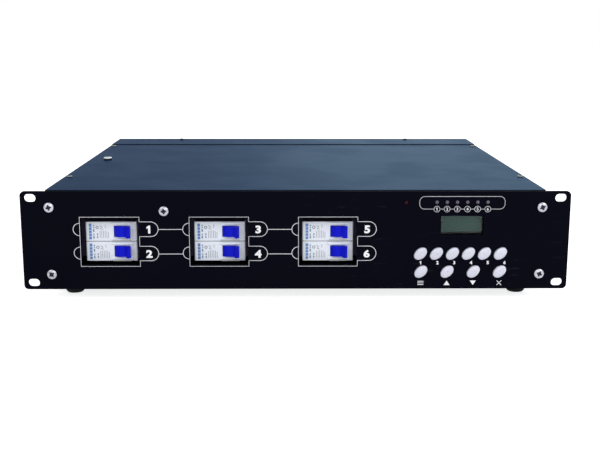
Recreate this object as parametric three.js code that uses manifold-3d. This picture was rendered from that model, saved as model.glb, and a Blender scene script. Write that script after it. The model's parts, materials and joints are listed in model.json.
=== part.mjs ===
// A six-channel dimmer pack for a 19-inch rack, in millimetres.
// X runs to the right, Y from the front plate to the rear, Z up from the ground under the feet.
import * as THREE from "three";
import { mergeVertices } from "three/addons/utils/BufferGeometryUtils.js";
import Module from "manifold-3d";

// Clearances
const seat = 0.3;
const running = 0.35;
const overrun = 2;

// Rack plate, two units high, with a slot near each corner
const plate = { width: 482.6, height: 88.1, thickness: 3, corner: 4 };
const rackSlot = { spacingX: 465.1, spacingZ: 76.2, length: 10.3, height: 7.1 };

// Sheet steel case behind the plate
const shell = { width: 444, height: 86.55, depth: 403.5, sheet: 1.5, stripDepth: 58.5, seam: 0.8 };
const cover = { setback: 9.2, drop: 0.8 };
const flange = { top: 20, front: 18, bridge: 30, rear: 5 };
const vent = { width: 4.5, height: 46, pitch: 15, fromFront: 130, count: 13 };
const pressNut = { radius: 3.9, length: 3.5 };

// Rubber feet under the floor
const foot = { radius: 8, height: 11.25, chamfer: 2.5, fromSide: 19, fromFront: 28, fromRear: 25 };
const footScrewWell = { radius: 3.6, depth: 5 };

// Screws that hold the plate, and the earth screw through the cover
const plateScrew = { shank: 2, length: 10, head: 4.6, headHeight: 2.6, fromSide: 6, spacingZ: 60 };
const crossRecess = { length: 5.2, width: 1.2, depth: 1.5 };
const middleScrewRise = 26.7;
const coverScrew = { shank: 1.5, fromSide: 5, firstFromFront: 85.2, lastFromSeam: 14.7 };
const earthScrew = { shank: 2.2, length: 9, head: 4.4, headHeight: 3, fromSide: 19.5, fromFront: 208.5 };

// Circuit breakers, two stacked in each of three groups
const breaker = { length: 85, width: 17.6, pitch: 18, noseWidth: 45.5, noseHeight: 18, railDepth: 66 };
const breakerEdge = { chamfer: 0.8, shoulderSlope: 2.5 };
const hook = { depth: 5, reach: 1.9 };
const terminal = { width: 9, height: 10, depth: 13, below: 14, screwRadius: 2.8, fromEnd: 7 };
const group = { fromSide: 58, pitch: 96, drop: 2.25, setback: 8 };
const windowMargin = { side: 2.5, above: 4.2, below: 1.7 };

// Toggle of a breaker, a drum with a paddle that widens outside the case, turning on two pins
const lever = { offset: 8.9, pivotDepth: 3.5, drum: 7, drumWidth: 9.4 };
const paddle = { width: 10.6, reach: 12, root: 1.8, tip: 1.5 };
const leverPin = { radius: 1.4, length: 1.4 };
const leverRestTilt = 42;

// Mounting rails and the bracket that carries them
const rail = { width: 35, height: 7.5, thickness: 1, lip: 4 };
const bracket = { sheet: 1.5, margin: 30, above: 12, foot: 16, tabWidth: 9.4, tabHeight: 17 };

// Oval push buttons, leaning to the right
const oval = { length: 13, width: 9, proud: 2.5, rim: 0.8, rimThickness: 1.2, stem: 2.2 };
const ovalLean = 42;
const buttonTravel = 0.8;
const channelRow = { fromSide: 112, gap: 1.86, drop: 11.85, count: 6 };
const menuRow = { fromSide: 111.3, gap: 11.06, drop: 28.3, count: 4 };

// Character display behind its pane
const display = { fromSide: 75.6, rise: 13.6, openWidth: 37.6, openHeight: 16.8, setback: 7.5 };
const pane = { thickness: 1.5, margin: 4 };
const card = { width: 58, height: 32, depth: 9.2, frameWidth: 52, frameHeight: 27, glassDepth: 1 };
const glassMargin = 1.2;

// Control board on four studs
const board = { thickness: 1.6, toLeft: 12, toRight: 15, top: 37.5, bottom: -38 };
const stud = { radius: 2.5, fromEdge: 4 };
const keySwitch = { width: 6.2, height: 4.6 };

// Lamps above the display
const lamp = { radius: 1.5, proud: 0.8, sleeve: 2.4 };
const powerLamp = { fromSide: 125.55, rise: 34 };
const lampBar = { fromSide: 98.5, pitch: 8.95, count: 6, rise: 34.3, height: 6 };

// Mains outlets, sockets and cable gland on the rear
const outlet = { gap: 2, count: 6, width: 50, corner: 4, bezel: 3, barrel: 21.5, depth: 31 };
const well = { radius: 19.5, depth: 17.5, contactRadius: 2.6, contactSpacing: 19, contactDepth: 11 };
const earthClip = { width: 6, reach: 3.4, thickness: 2.2 };
const guideRib = { width: 5, reach: 1.6 };
const signal = { rise: 17.5, width: 26, height: 31, bezel: 2, barrel: 11.6, depth: 24 };
const signalPin = { circle: 4, radius: 1.2, length: 11.5 };
const signalMouth = { radius: 9.3, depth: 14, insert: 7.6 };
const latch = { width: 8, height: 2.6, length: 12, above: 10.2, proud: 2.4 };
const latchTravel = 1.6;
const gland = { thread: 12.5, bore: 8.5, inside: 9, hexWidth: 30, hexLength: 7 };
const domeNut = { across: 27, length: 17, lip: 10.4 };
const glandSleeve = { radius: 10.2, length: 13 };

// Power electronics on the floor
const power = { fromLeft: 53.5, fromRight: 90.5, behindRail: 44, rearRoom: 37, thickness: 1.6 };
const post = { radius: 3, height: 8 };
const choke = { outer: 17, inner: 7.5, height: 15, depthShare: 0.143 };
const capacitor = { length: 26, width: 10, height: 18, depthShare: 0.37 };
const relay = { length: 24, width: 16, height: 15, depthShare: 0.571 };
const triac = { width: 10, depth: 4.5, height: 20 };
const heatsink = { depth: 56, wall: 6, height: 58, fins: 8, fin: 2.2, overhang: 12 };
const coreBlock = { width: 44, depth: 36, height: 37, fromSide: 50.5, fromFront: 142, window: 13 };
const coil = { margin: 6, stand: 3 };
const terminalRow = { width: 26, pitch: 12, height: 22, poles: 5, step: 8, entry: 3, fromSide: 28 };

// Axial fan against the right side wall
const fan = { size: 60, thickness: 25, bore: 28, corner: 4, hub: 13, intake: 2, strut: 4, fromRear: 76 };
const blade = { count: 7, tipGap: 1.2, thickness: 1.3, chord: 15, pitchAngle: 38, rootSink: 1.5 };
const axle = { radius: 1.5, length: 5 };
const motor = { radius: 12, depth: 8 };
const grille = { bars: 7, barHeight: 3.2 };

// Heights, from the ground up
const caseBottom = foot.height + seat;
const floorTop = caseBottom + shell.sheet;
const caseTop = caseBottom + shell.height;
const stripUnder = caseTop - shell.sheet;
const coverTop = caseTop - cover.drop;
const coverUnder = coverTop - shell.sheet;
const trayTop = coverUnder - seat;
const middleZ = caseTop - plate.height / 2;

// Depths, from the plate's front face back
const caseFront = plate.thickness + seat;
const caseBack = plate.thickness + shell.depth;
const trayBack = caseBack - shell.sheet - seat;
const seamBack = caseBack - shell.stripDepth;
const coverBack = seamBack - shell.seam;
const boardFront = display.setback + card.depth + seat;
const rearmost = caseBack + seat + gland.hexLength + seat + domeNut.length;
const foremost = Math.max(oval.proud, plateScrew.headHeight + seat);

// Widths and places that several pieces share
const sideX = shell.width / 2;
const innerX = sideX - shell.sheet;
const groupXs = [0, 1, 2].map((i) => group.fromSide - sideX + i * group.pitch);
const pairZ = middleZ - group.drop;
const breakerZs = [pairZ + breaker.pitch / 2, pairZ - breaker.pitch / 2];
const middleScrewX = groupXs[0] + group.pitch / 2;
const plateScrewX = sideX - plateScrew.fromSide;
const coverScrewX = sideX - coverScrew.fromSide;
const coverScrewYs = [caseFront + coverScrew.firstFromFront, coverBack - coverScrew.lastFromSeam];
const earthScrewPlace = { x: earthScrew.fromSide - sideX, y: caseFront + earthScrew.fromFront };
const railFront = group.setback + breaker.railDepth;
const fanY = caseBack - fan.fromRear;
const powerTop = floorTop + seat + post.height + power.thickness;
const powerLeft = power.fromLeft - innerX;
const powerRight = innerX - power.fromRight;
const powerFront = railFront + power.behindRail;
const powerBack = caseBack - outlet.depth - heatsink.depth - power.rearRoom;
const sinkFront = powerBack + seat;

// Row pitches, from the ovals' own width along the row and the gap between them
const degrees = Math.PI / 180;
const rimHalfLength = oval.length / 2 + oval.rim;
const rimHalfWidth = oval.width / 2 + oval.rim;
const ovalAlongRow =
  2 / Math.hypot(Math.cos(ovalLean * degrees) / rimHalfLength, Math.sin(ovalLean * degrees) / rimHalfWidth);
const channelPitch = ovalAlongRow + channelRow.gap;
const menuPitch = ovalAlongRow + menuRow.gap;
const rowXs = ({ fromSide, count }, pitch) => Array.from({ length: count }, (_, i) => sideX - fromSide + i * pitch);
const channelXs = rowXs(channelRow, channelPitch);
const menuXs = rowXs(menuRow, menuPitch);
const powerLampX = sideX - powerLamp.fromSide;
const displayX = sideX - display.fromSide;
const boardLeft = powerLampX - board.toLeft;
const boardRight = channelXs[channelRow.count - 1] + board.toRight;
const lampXs = rowXs(lampBar, lampBar.pitch);
const outletPitch = Math.max(outlet.width, 2 * (outlet.barrel + seat)) + outlet.gap;
const outletXs = Array.from(
  { length: outlet.count },
  (_, i) => (i - (outlet.count - 1) / 2) * outletPitch,
);
const outletRowEnd = outletXs[outlet.count - 1] + outlet.width / 2;
const signalX = (outletRowEnd + sideX) / 2;
const glandX = -signalX;

// Shapes of crowns and domes, as shares of their radius and height
const buttonCrownShares = [[0, 1], [0.6, 0.88], [0.9, 0.6], [1, 0.25]];
const screwCrownShares = [[0.62, 1], [1, 0.4]];
const lampCrownShares = [[0, 1], [0.7, 0.6], [1, 0]];
const domeCrownShares = [[0, 1], [0.55, 1], [0.86, 0.8], [1, 0.5]];

const wasm = await Module();
wasm.setup();

// A closed geometry as a solid that can be joined and cut
function solidOf(geometry) {
  geometry.deleteAttribute("normal");
  geometry.deleteAttribute("uv");
  const merged = mergeVertices(geometry);
  const vertProperties = merged.attributes.position.array;
  const triVerts = new Uint32Array(merged.index.array);
  return new wasm.Manifold(new wasm.Mesh({ numProp: 3, vertProperties, triVerts }));
}

function join(first, ...others) {
  return others.reduce((whole, piece) => whole.add(piece), first);
}

function cut(body, ...tools) {
  return tools.reduce((rest, tool) => rest.subtract(tool), body);
}

// Outlines, as lists of points
function circle(x, y, radius, steps) {
  return new THREE.EllipseCurve(x, y, radius, radius).getPoints(steps).slice(1);
}

function ellipse(x, y, along, across, lean, steps) {
  return new THREE.EllipseCurve(x, y, along, across, 0, 2 * Math.PI, false, lean).getPoints(steps).slice(1);
}

function arc(x, y, radius, from, to, steps) {
  return new THREE.EllipseCurve(x, y, radius, radius, from, to).getPoints(steps);
}

function rectangle(x0, x1, y0, y1) {
  return [[x0, y0], [x1, y0], [x1, y1], [x0, y1]].map(([x, y]) => new THREE.Vector2(x, y));
}

function rounded(x0, x1, y0, y1, radius, steps) {
  const corners = [[x1, y0, -1, 1], [x1, y1, -1, -1], [x0, y1, 1, -1], [x0, y0, 1, 1]];
  return corners.flatMap(([x, y, inX, inY], i) =>
    arc(x + inX * radius, y + inY * radius, radius, (i - 1) * Math.PI / 2, i * Math.PI / 2, steps));
}

function obround(x, y, length, height, steps) {
  const end = (length - height) / 2;
  return [
    ...arc(x + end, y, height / 2, -Math.PI / 2, Math.PI / 2, steps),
    ...arc(x - end, y, height / 2, Math.PI / 2, 3 * Math.PI / 2, steps),
  ];
}

function points(pairs) {
  return pairs.map(([x, y]) => new THREE.Vector2(x, y));
}

// Solids from outlines: flat ones are thick along Z, upright ones along Y, sideways ones along X
function extrude(outline, depth) {
  return new THREE.ExtrudeGeometry(new THREE.Shape(outline), { depth, bevelEnabled: false });
}

function flat(outline, z0, z1) {
  return solidOf(extrude(outline, z1 - z0).translate(0, 0, z0));
}

function upright(outline, y0, y1) {
  return solidOf(extrude(outline, y1 - y0).rotateX(Math.PI / 2).translate(0, y1, 0));
}

function sideways(outline, x0, x1) {
  return solidOf(extrude(outline, x1 - x0).rotateX(Math.PI / 2).rotateZ(Math.PI / 2).translate(x0, 0, 0));
}

function block([x0, x1], [y0, y1], [z0, z1]) {
  return flat(rectangle(x0, x1, y0, y1), z0, z1);
}

// A turned solid from pairs of radius and height, along the axis that is named
function turned(profile, steps, axis = "y") {
  const outline = points(profile);
  if (THREE.ShapeUtils.area(outline) < 0) outline.reverse();
  const geometry = new THREE.LatheGeometry(outline, steps);
  if (axis === "z") geometry.rotateX(Math.PI / 2);
  if (axis === "x") geometry.rotateZ(-Math.PI / 2);
  return solidOf(geometry);
}

function rod(radius, from, to, steps, axis = "y") {
  return turned([[0, from], [radius, from], [radius, to], [0, to]], steps, axis);
}

// A crown of shares, its rim at one height and its top at another
function crown(shares, radius, rim, top) {
  return shares.map(([across, up]) => [across * radius, rim + up * (top - rim)]);
}

// Front plate with every opening and the studs of the control board
function frontPlate() {
  const top = middleZ + plate.height / 2;
  const bottom = middleZ - plate.height / 2;
  const right = plate.width / 2;
  const middle = upright(rectangle(-sideX, sideX, bottom, top), 0, plate.thickness);
  const rightEar = upright(earOutline(right, bottom, top), 0, plate.thickness);
  const whole = join(middle, rightEar, rightEar.mirror([1, 0, 0]), ...boardStuds());
  return cut(whole, ...rackSlots(), ...breakerWindows(), ...controlOpenings(), ...plateScrewHoles());
}

function earOutline(right, bottom, top) {
  const r = plate.corner;
  return [
    ...points([[sideX, top], [sideX, bottom]]),
    ...arc(right - r, bottom + r, r, -Math.PI / 2, 0, 4),
    ...arc(right - r, top - r, r, 0, Math.PI / 2, 4),
  ];
}

function throughPlate(outline) {
  return upright(outline, -overrun, plate.thickness + overrun);
}

function rackSlots() {
  return [-1, 1].flatMap((sx) => [-1, 1].map((sz) => {
    const x = sx * rackSlot.spacingX / 2;
    const z = middleZ + sz * rackSlot.spacingZ / 2;
    return throughPlate(obround(x, z, rackSlot.length, rackSlot.height, 5));
  }));
}

function breakerWindows() {
  const half = breaker.noseWidth / 2 + windowMargin.side;
  const top = breakerZs[0] + breaker.width / 2 + windowMargin.above;
  const bottom = breakerZs[1] - breaker.width / 2 - windowMargin.below;
  return groupXs.map((x) => throughPlate(rectangle(x - half, x + half, bottom, top)));
}

function controlOpenings() {
  const halfWidth = display.openWidth / 2;
  const halfHeight = display.openHeight / 2;
  const z = middleZ + display.rise;
  const screen = rectangle(displayX - halfWidth, displayX + halfWidth, z - halfHeight, z + halfHeight);
  const ovals = buttonPlaces().map(({ x, z }) =>
    ellipse(x, z, oval.length / 2 + running, oval.width / 2 + running, ovalLean * degrees, 12));
  const lamps = [{ x: powerLampX, rise: powerLamp.rise }, ...lampXs.map((x) => ({ x, rise: lampBar.rise }))]
    .map(({ x, rise }) => circle(x, middleZ + rise, lamp.radius + running, 6));
  return [screen, ...ovals, ...lamps].map(throughPlate);
}

function plateScrewPlaces() {
  const half = plateScrew.spacingZ / 2;
  return {
    upper_left: { x: -plateScrewX, z: middleZ + half },
    lower_left: { x: -plateScrewX, z: middleZ - half },
    upper_right: { x: plateScrewX, z: middleZ + half },
    lower_right: { x: plateScrewX, z: middleZ - half },
    middle: { x: middleScrewX, z: middleZ + middleScrewRise },
  };
}

function plateScrewHoles() {
  return Object.values(plateScrewPlaces()).map(({ x, z }) =>
    throughPlate(circle(x, z, plateScrew.shank + seat, 8)));
}

function boardStudPlaces() {
  const xs = [boardLeft + stud.fromEdge, boardRight - stud.fromEdge];
  const zs = [middleZ + board.bottom + stud.fromEdge, middleZ + board.top - stud.fromEdge];
  return xs.flatMap((x) => zs.map((z) => ({ x, z })));
}

function boardStuds() {
  return boardStudPlaces().map(({ x, z }) =>
    rod(stud.radius, plate.thickness / 2, boardFront - seat, 6).translate([x, 0, z]));
}

// A press nut around a screw, on the far side of a sheet, along Y
function nutAlongY(place, from, shank) {
  const ring = rod(pressNut.radius, from - shell.sheet / 2, from + pressNut.length, 8);
  return { ring: ring.translate(place), hole: holeAlongY(place, from, shank) };
}

function holeAlongY(place, from, shank) {
  return rod(shank + seat, from - shell.sheet - overrun, from + pressNut.length + overrun, 8).translate(place);
}

// Floor and side walls folded from one sheet, with flanges all round
function tray() {
  const outer = block([-sideX, sideX], [caseFront, trayBack], [caseBottom, trayTop]);
  const hollow = block(
    [-innerX, innerX],
    [caseFront + shell.sheet, trayBack - shell.sheet],
    [floorTop, trayTop - shell.sheet],
  );
  const topWay = block(
    [flange.top - sideX, sideX - flange.top],
    [caseFront + flange.bridge, trayBack + overrun],
    [floorTop, caseTop],
  );
  const frontWay = block(
    [flange.front - sideX, sideX - flange.front],
    [caseFront - overrun, caseFront + flange.front],
    [floorTop, trayTop - shell.sheet],
  );
  const rearWay = block(
    [flange.rear - sideX, sideX - flange.rear],
    [trayBack - flange.rear, trayBack + overrun],
    [floorTop, trayTop - shell.sheet],
  );
  const nuts = [...frontNuts(), earthNut()];
  const folded = cut(outer, hollow, topWay, frontWay, rearWay, ...leftVents(), ...fanGrille());
  const holes = [...nuts.map((nut) => nut.hole), ...coverScrewHoles(trayTop - pressNut.length, trayTop)];
  return cut(join(folded, ...nuts.map((nut) => nut.ring)), ...holes);
}

function frontNuts() {
  const { middle, ...corners } = plateScrewPlaces();
  return Object.values(corners).map(({ x, z }) =>
    nutAlongY([x, 0, z], caseFront + shell.sheet, plateScrew.shank));
}

function earthNut() {
  const place = [earthScrewPlace.x, earthScrewPlace.y, 0];
  const under = trayTop - shell.sheet - pressNut.length;
  return {
    ring: rod(pressNut.radius, under, trayTop - shell.sheet / 2, 8, "z").translate(place),
    hole: rod(earthScrew.shank + seat, under - overrun, trayTop + overrun, 8, "z").translate(place),
  };
}

function coverScrewHoles(from, to) {
  return [-1, 1].flatMap((side) => coverScrewYs.map((y) =>
    rod(coverScrew.shank, from - overrun, to + overrun, 6, "z").translate([side * coverScrewX, y, 0])));
}

function leftVents() {
  return Array.from({ length: vent.count }, (_, i) => {
    const y = caseFront + vent.fromFront + i * vent.pitch;
    const z = [middleZ - vent.height / 2, middleZ + vent.height / 2];
    return block([-sideX - overrun, -innerX + overrun], [y, y + vent.width], z);
  });
}

function fanGrille() {
  const pitch = 2 * fan.bore / grille.bars;
  return Array.from({ length: grille.bars }, (_, i) => {
    const rise = (i - (grille.bars - 1) / 2) * pitch;
    const half = Math.sqrt(fan.bore ** 2 - (Math.abs(rise) + grille.barHeight / 2) ** 2);
    const slot = obround(fanY, middleZ + rise, 2 * half, pitch - grille.barHeight, 3);
    return sideways(slot, innerX - overrun, sideX + overrun);
  });
}

function topCover() {
  const sheet = block([-sideX, sideX], [caseFront + cover.setback, coverBack], [coverUnder, coverTop]);
  const place = [earthScrewPlace.x, earthScrewPlace.y, 0];
  const earthHole = rod(earthScrew.shank + seat, coverUnder - overrun, coverTop + overrun, 8, "z");
  return cut(sheet, earthHole.translate(place), ...coverScrewHoles(coverUnder, coverTop));
}

// Rear wall and the strip folded forward from it along the top
function rearPanel() {
  const outline = points([
    [seamBack, stripUnder],
    [caseBack - shell.sheet, stripUnder],
    [caseBack - shell.sheet, caseBottom],
    [caseBack, caseBottom],
    [caseBack, caseTop],
    [seamBack, caseTop],
  ]);
  const through = (outlinePoints) => upright(outlinePoints, caseBack - shell.sheet - overrun, caseBack + overrun);
  const outletHoles = outletXs.map((x) => circle(x, middleZ, outlet.barrel + seat, 20));
  const signalHoles = [-1, 1].map((side) =>
    circle(signalX, middleZ + side * signal.rise, signal.barrel + seat, 16));
  const latchHalf = latch.width / 2 + running + seat;
  const latchBottom = middleZ - signal.rise;
  const latchTop = latchBottom + latch.above + latch.height + running + seat;
  const latchNotch = rectangle(signalX - latchHalf, signalX + latchHalf, latchBottom, latchTop);
  const glandHole = circle(glandX, middleZ, gland.thread + seat, 16);
  const holes = [...outletHoles, ...signalHoles, latchNotch, glandHole].map(through);
  return cut(sideways(outline, -sideX, sideX), ...holes);
}

function rubberFoot() {
  const { radius, height, chamfer } = foot;
  return turned([
    [0, footScrewWell.depth],
    [footScrewWell.radius, footScrewWell.depth],
    [footScrewWell.radius, 0],
    [radius - chamfer, 0],
    [radius, chamfer],
    [radius, height],
    [0, height],
  ], 10, "z");
}

// A cross-head screw along Y, its head in front of the origin
function panScrew({ shank, length, head, headHeight }) {
  const body = turned([
    [0, -headHeight - seat],
    ...crown(screwCrownShares, head, -seat, -headHeight - seat),
    [head, -seat],
    [shank, -seat],
    [shank, length],
    [0, length],
  ], 10);
  const long = crossRecess.length / 2;
  const wide = crossRecess.width / 2;
  const depth = [-headHeight - overrun, crossRecess.depth - headHeight - seat];
  return cut(body, block([-long, long], depth, [-wide, wide]), block([-wide, wide], depth, [-long, long]));
}

// Moulded breaker case: nose in front, shoulders with terminals, hooks around the rail behind
function breakerCase() {
  const half = breaker.length / 2;
  const nose = breaker.noseWidth / 2;
  const { chamfer, shoulderSlope } = breakerEdge;
  const shoulder = breaker.noseHeight;
  const back = breaker.railDepth;
  const railHalf = rail.width / 2 + seat;
  const lip = railHalf - hook.reach;
  const grip = back + rail.thickness + seat;
  const rightHalf = [
    [nose - chamfer, 0],
    [nose, chamfer],
    [nose, shoulder],
    [half - chamfer, shoulder + shoulderSlope],
    [half, shoulder + shoulderSlope + chamfer],
    [half, back - chamfer],
    [half - chamfer, back],
    [railHalf + hook.depth, back],
    [railHalf + hook.depth, back + hook.depth - chamfer],
    [railHalf + hook.depth - chamfer, back + hook.depth],
    [lip, back + hook.depth],
    [lip, grip],
    [railHalf, grip],
    [railHalf, back - seat],
  ];
  const leftHalf = rightHalf.map(([x, y]) => [-x, y]).reverse();
  const body = flat(points([...rightHalf, ...leftHalf]), -breaker.width / 2, breaker.width / 2);
  return cut(body, ...leverPocket(), ...terminalWells());
}

function leverPocket() {
  const half = lever.drumWidth / 2 + running;
  const pin = half + leverPin.length + seat;
  const place = [lever.offset, lever.pivotDepth, 0];
  const drum = rod(lever.drum + running, -half, half, 18, "z").translate(place);
  const pins = rod(leverPin.radius + running, -pin, pin, 8, "z").translate(place);
  return [drum, pins];
}

function terminalWells() {
  const half = breaker.length / 2;
  const entryFront = breaker.noseHeight + terminal.below;
  const entryBack = entryFront + terminal.height;
  const z = [-terminal.width / 2, terminal.width / 2];
  return [-1, 1].flatMap((side) => {
    const xs = [side * (half + overrun), side * (half - terminal.depth)].sort((a, b) => a - b);
    const entry = block(xs, [entryFront, entryBack], z);
    const screwWay = rod(terminal.screwRadius, breaker.noseHeight - overrun, entryFront + overrun, 6);
    return [entry, screwWay.translate([side * (half - terminal.fromEnd), 0, 0])];
  });
}

// Toggle with its pivot at the origin, the paddle pointing to the front
function breakerLever() {
  const { root, tip, reach } = paddle;
  const rootAngle = Math.asin(root / lever.drum);
  const aroundDrum = arc(0, 0, lever.drum, -Math.PI / 2 + rootAngle, 3 * Math.PI / 2 - rootAngle, 18);
  const end = points([[-tip, tip - reach], [-tip / 2, -reach], [tip / 2, -reach], [tip, tip - reach]]);
  const half = lever.drumWidth / 2;
  const toggle = flat([...aroundDrum, ...end], -half, half);
  const shoulder = -lever.drum - 2 * running;
  const grip = flat([...end, ...points([[tip, shoulder], [-tip, shoulder]])], -paddle.width / 2, paddle.width / 2);
  const pins = rod(leverPin.radius, -half - leverPin.length, half + leverPin.length, 6, "z");
  return join(toggle, grip, pins);
}

// Bracket of folded sheet with a hat rail welded on behind each pair of breakers
function breakerBracket() {
  const back = railFront + rail.height;
  const left = groupXs[0] - bracket.margin;
  const right = groupXs[2] + bracket.margin;
  const bottom = floorTop + seat;
  const top = breakerZs[0] + breaker.width / 2 + bracket.above;
  const wall = block([left, right], [back, back + bracket.sheet], [bottom, top]);
  const sole = block([left, right], [back, back + bracket.foot], [bottom, bottom + bracket.sheet]);
  const rails = groupXs.map((x) => hatRail(back, bottom, top).translate([x, 0, 0]));
  return join(wall, sole, ...rails, bracketArm(back, top));
}

function hatRail(back, bottom, top) {
  const outer = rail.width / 2;
  const inner = outer - rail.lip;
  const t = rail.thickness;
  const sunk = back + bracket.sheet / 2;
  const web = [-1, 1].map((side) => {
    const pair = (x, y) => [side * x, y];
    const outline = points([
      pair(outer, railFront),
      pair(outer, railFront + t),
      pair(inner + t, railFront + t),
      pair(inner + t, sunk),
      pair(inner, sunk),
      pair(inner, railFront),
    ]);
    return flat(side > 0 ? outline : outline.reverse(), bottom, top);
  });
  return join(...web);
}

// Arm between the first two groups, ending in a tab behind the plate's middle screw
function bracketArm(back, top) {
  const z = middleZ + middleScrewRise;
  const zs = [z - bracket.tabHeight / 2, z + bracket.tabHeight / 2];
  const left = middleScrewX - bracket.tabWidth / 2;
  const tabBack = caseFront + bracket.sheet;
  const tab = block([left, left + bracket.tabWidth], [caseFront, tabBack], zs);
  const arm = block([left, left + bracket.sheet], [caseFront, back + bracket.sheet], [zs[0], top]);
  const nut = nutAlongY([middleScrewX, 0, z], tabBack, plateScrew.shank);
  return cut(join(tab, arm, nut.ring), nut.hole);
}

// Push button with its origin on the plate's front face
function ovalButton() {
  const long = oval.length / 2;
  const rimFront = plate.thickness + seat;
  const rimBack = rimFront + oval.rimThickness;
  const stemEnd = boardFront - keySwitch.height - buttonTravel - seat;
  const cap = turned([
    ...crown(buttonCrownShares, long, 0, -oval.proud),
    [long, (rimFront + rimBack) / 2],
    [0, (rimFront + rimBack) / 2],
  ], 14).scale([1, 1, oval.width / oval.length]);
  const rimShare = rimHalfWidth / rimHalfLength;
  const rim = rod(rimHalfLength, rimFront, rimBack, 8).scale([1, 1, rimShare]);
  const stem = rod(oval.stem, (rimFront + rimBack) / 2, stemEnd, 6);
  return join(cap, rim, stem).rotate([0, -ovalLean, 0]);
}

function buttonPlaces() {
  const names = channelXs.map((_, i) => "channel_button_" + (i + 1));
  const channel = channelXs.map((x, i) => ({ name: names[i], x, z: middleZ - channelRow.drop }));
  const menuNames = ["menu_button", "up_button", "down_button", "escape_button"];
  const menu = menuXs.map((x, i) => ({ name: menuNames[i], x, z: middleZ - menuRow.drop }));
  return [...channel, ...menu];
}

function displayPane() {
  const halfWidth = display.openWidth / 2 + pane.margin;
  const halfHeight = display.openHeight / 2 + pane.margin;
  const z = middleZ + display.rise;
  const ys = [plate.thickness + seat, plate.thickness + seat + pane.thickness];
  return block([displayX - halfWidth, displayX + halfWidth], ys, [z - halfHeight, z + halfHeight]);
}

// Display module: a board, a metal frame in front and the glass set into the frame
function displayModule() {
  const z = middleZ + display.rise;
  const around = (width, height) =>
    [[displayX - width / 2, displayX + width / 2], [z - height / 2, z + height / 2]];
  const front = display.setback - card.glassDepth;
  const back = display.setback + card.depth;
  const [frameX, frameZ] = around(card.frameWidth, card.frameHeight);
  const [boardX, boardZ] = around(card.width, card.height);
  const [glassX, glassZ] = around(display.openWidth + 2 * glassMargin, display.openHeight + 2 * glassMargin);
  const frame = block(frameX, [front, back - board.thickness / 2], frameZ);
  const carrier = block(boardX, [back - board.thickness, back], boardZ);
  return cut(join(frame, carrier), block(glassX, [front - overrun, display.setback], glassZ));
}

// Control board with a key switch behind each button
function controlBoard() {
  const ys = [boardFront, boardFront + board.thickness];
  const body = block([boardLeft, boardRight], ys, [middleZ + board.bottom, middleZ + board.top]);
  const half = keySwitch.width / 2;
  const switchYs = [boardFront - keySwitch.height, ys[1] - board.thickness / 2];
  const switches = buttonPlaces().map(({ x, z }) => block([x - half, x + half], switchYs, [z - half, z + half]));
  return join(body, ...switches);
}

// A domed lamp along Y, from in front of the plate to a depth behind it
function domedLamp(end) {
  return turned([...crown(lampCrownShares, lamp.radius, 0, -lamp.proud), [lamp.radius, end], [0, end]], 8);
}

// The power lamp in its sleeve, which reaches back to the control board
function powerLampBody() {
  const behind = plate.thickness + seat;
  const sleeve = rod(lamp.sleeve, behind, boardFront - seat, 6);
  return join(sleeve, domedLamp(behind + lamp.radius));
}

// Channel lamps on one strip, which stands between the plate and the control board
function channelLampBar() {
  const behind = plate.thickness + seat;
  const half = lampBar.height / 2;
  const ends = [lampXs[0] - half, lampXs[lampBar.count - 1] + half];
  const strip = block(ends, [behind, boardFront - seat], [-half, half]);
  return join(strip, ...lampXs.map((x) => domedLamp(behind + lamp.radius).translate([x, 0, 0])));
}

// Mains outlet with its origin on the rear wall, facing back
function mainsOutlet() {
  const bezelBack = seat + outlet.bezel;
  const floor = bezelBack - well.depth;
  const half = outlet.width / 2;
  const bezel = upright(rounded(-half, half, -half, half, outlet.corner, 2), seat, bezelBack);
  const barrel = rod(outlet.barrel, -outlet.depth, bezelBack - outlet.bezel / 2, 20);
  const mouth = rod(well.radius, floor, bezelBack + overrun, 18);
  const contacts = [-1, 1].map((side) =>
    rod(well.contactRadius, floor - well.contactDepth, floor + overrun, 6)
      .translate([side * well.contactSpacing / 2, 0, 0]));
  return join(cut(bezel.add(barrel), mouth, ...contacts), ...wellKeys(floor, bezelBack));
}

// Earth clips above and below in the well, guide ribs left and right
function wellKeys(floor, bezelBack) {
  const sunk = (well.radius + outlet.barrel) / 2;
  const clipHalf = earthClip.width / 2;
  const clip = sideways(points([
    [floor - earthClip.thickness, well.radius - earthClip.reach],
    [bezelBack - outlet.bezel, well.radius - earthClip.reach],
    [bezelBack - outlet.bezel / 2, well.radius - earthClip.reach / 2],
    [bezelBack - outlet.bezel, well.radius - earthClip.reach + earthClip.thickness],
    [floor - earthClip.thickness, well.radius - earthClip.reach + earthClip.thickness],
  ]), -clipHalf, clipHalf);
  const ribHalf = guideRib.width / 2;
  const ribXs = [well.radius - guideRib.reach, sunk];
  const rib = block(ribXs, [floor - overrun, bezelBack - outlet.bezel], [-ribHalf, ribHalf]);
  return [clip, clip.mirror([0, 0, 1]), rib, rib.mirror([1, 0, 0])];
}

// Shell of a three-pole signal socket with its origin on the rear wall, facing back
function signalShell() {
  const bezelBack = seat + signal.bezel;
  const halfWidth = signal.width / 2;
  const halfHeight = signal.height / 2;
  const bezel = upright(rounded(-halfWidth, halfWidth, -halfHeight, halfHeight, signal.bezel, 2), seat, bezelBack);
  return bezel.add(rod(signal.barrel, -signal.depth, bezelBack - signal.bezel / 2, 16));
}

function signalPinPlaces() {
  return [-60, 60, 180].map((angle) =>
    [signalPin.circle * Math.sin(angle * degrees), 0, signalPin.circle * Math.cos(angle * degrees)]);
}

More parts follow.
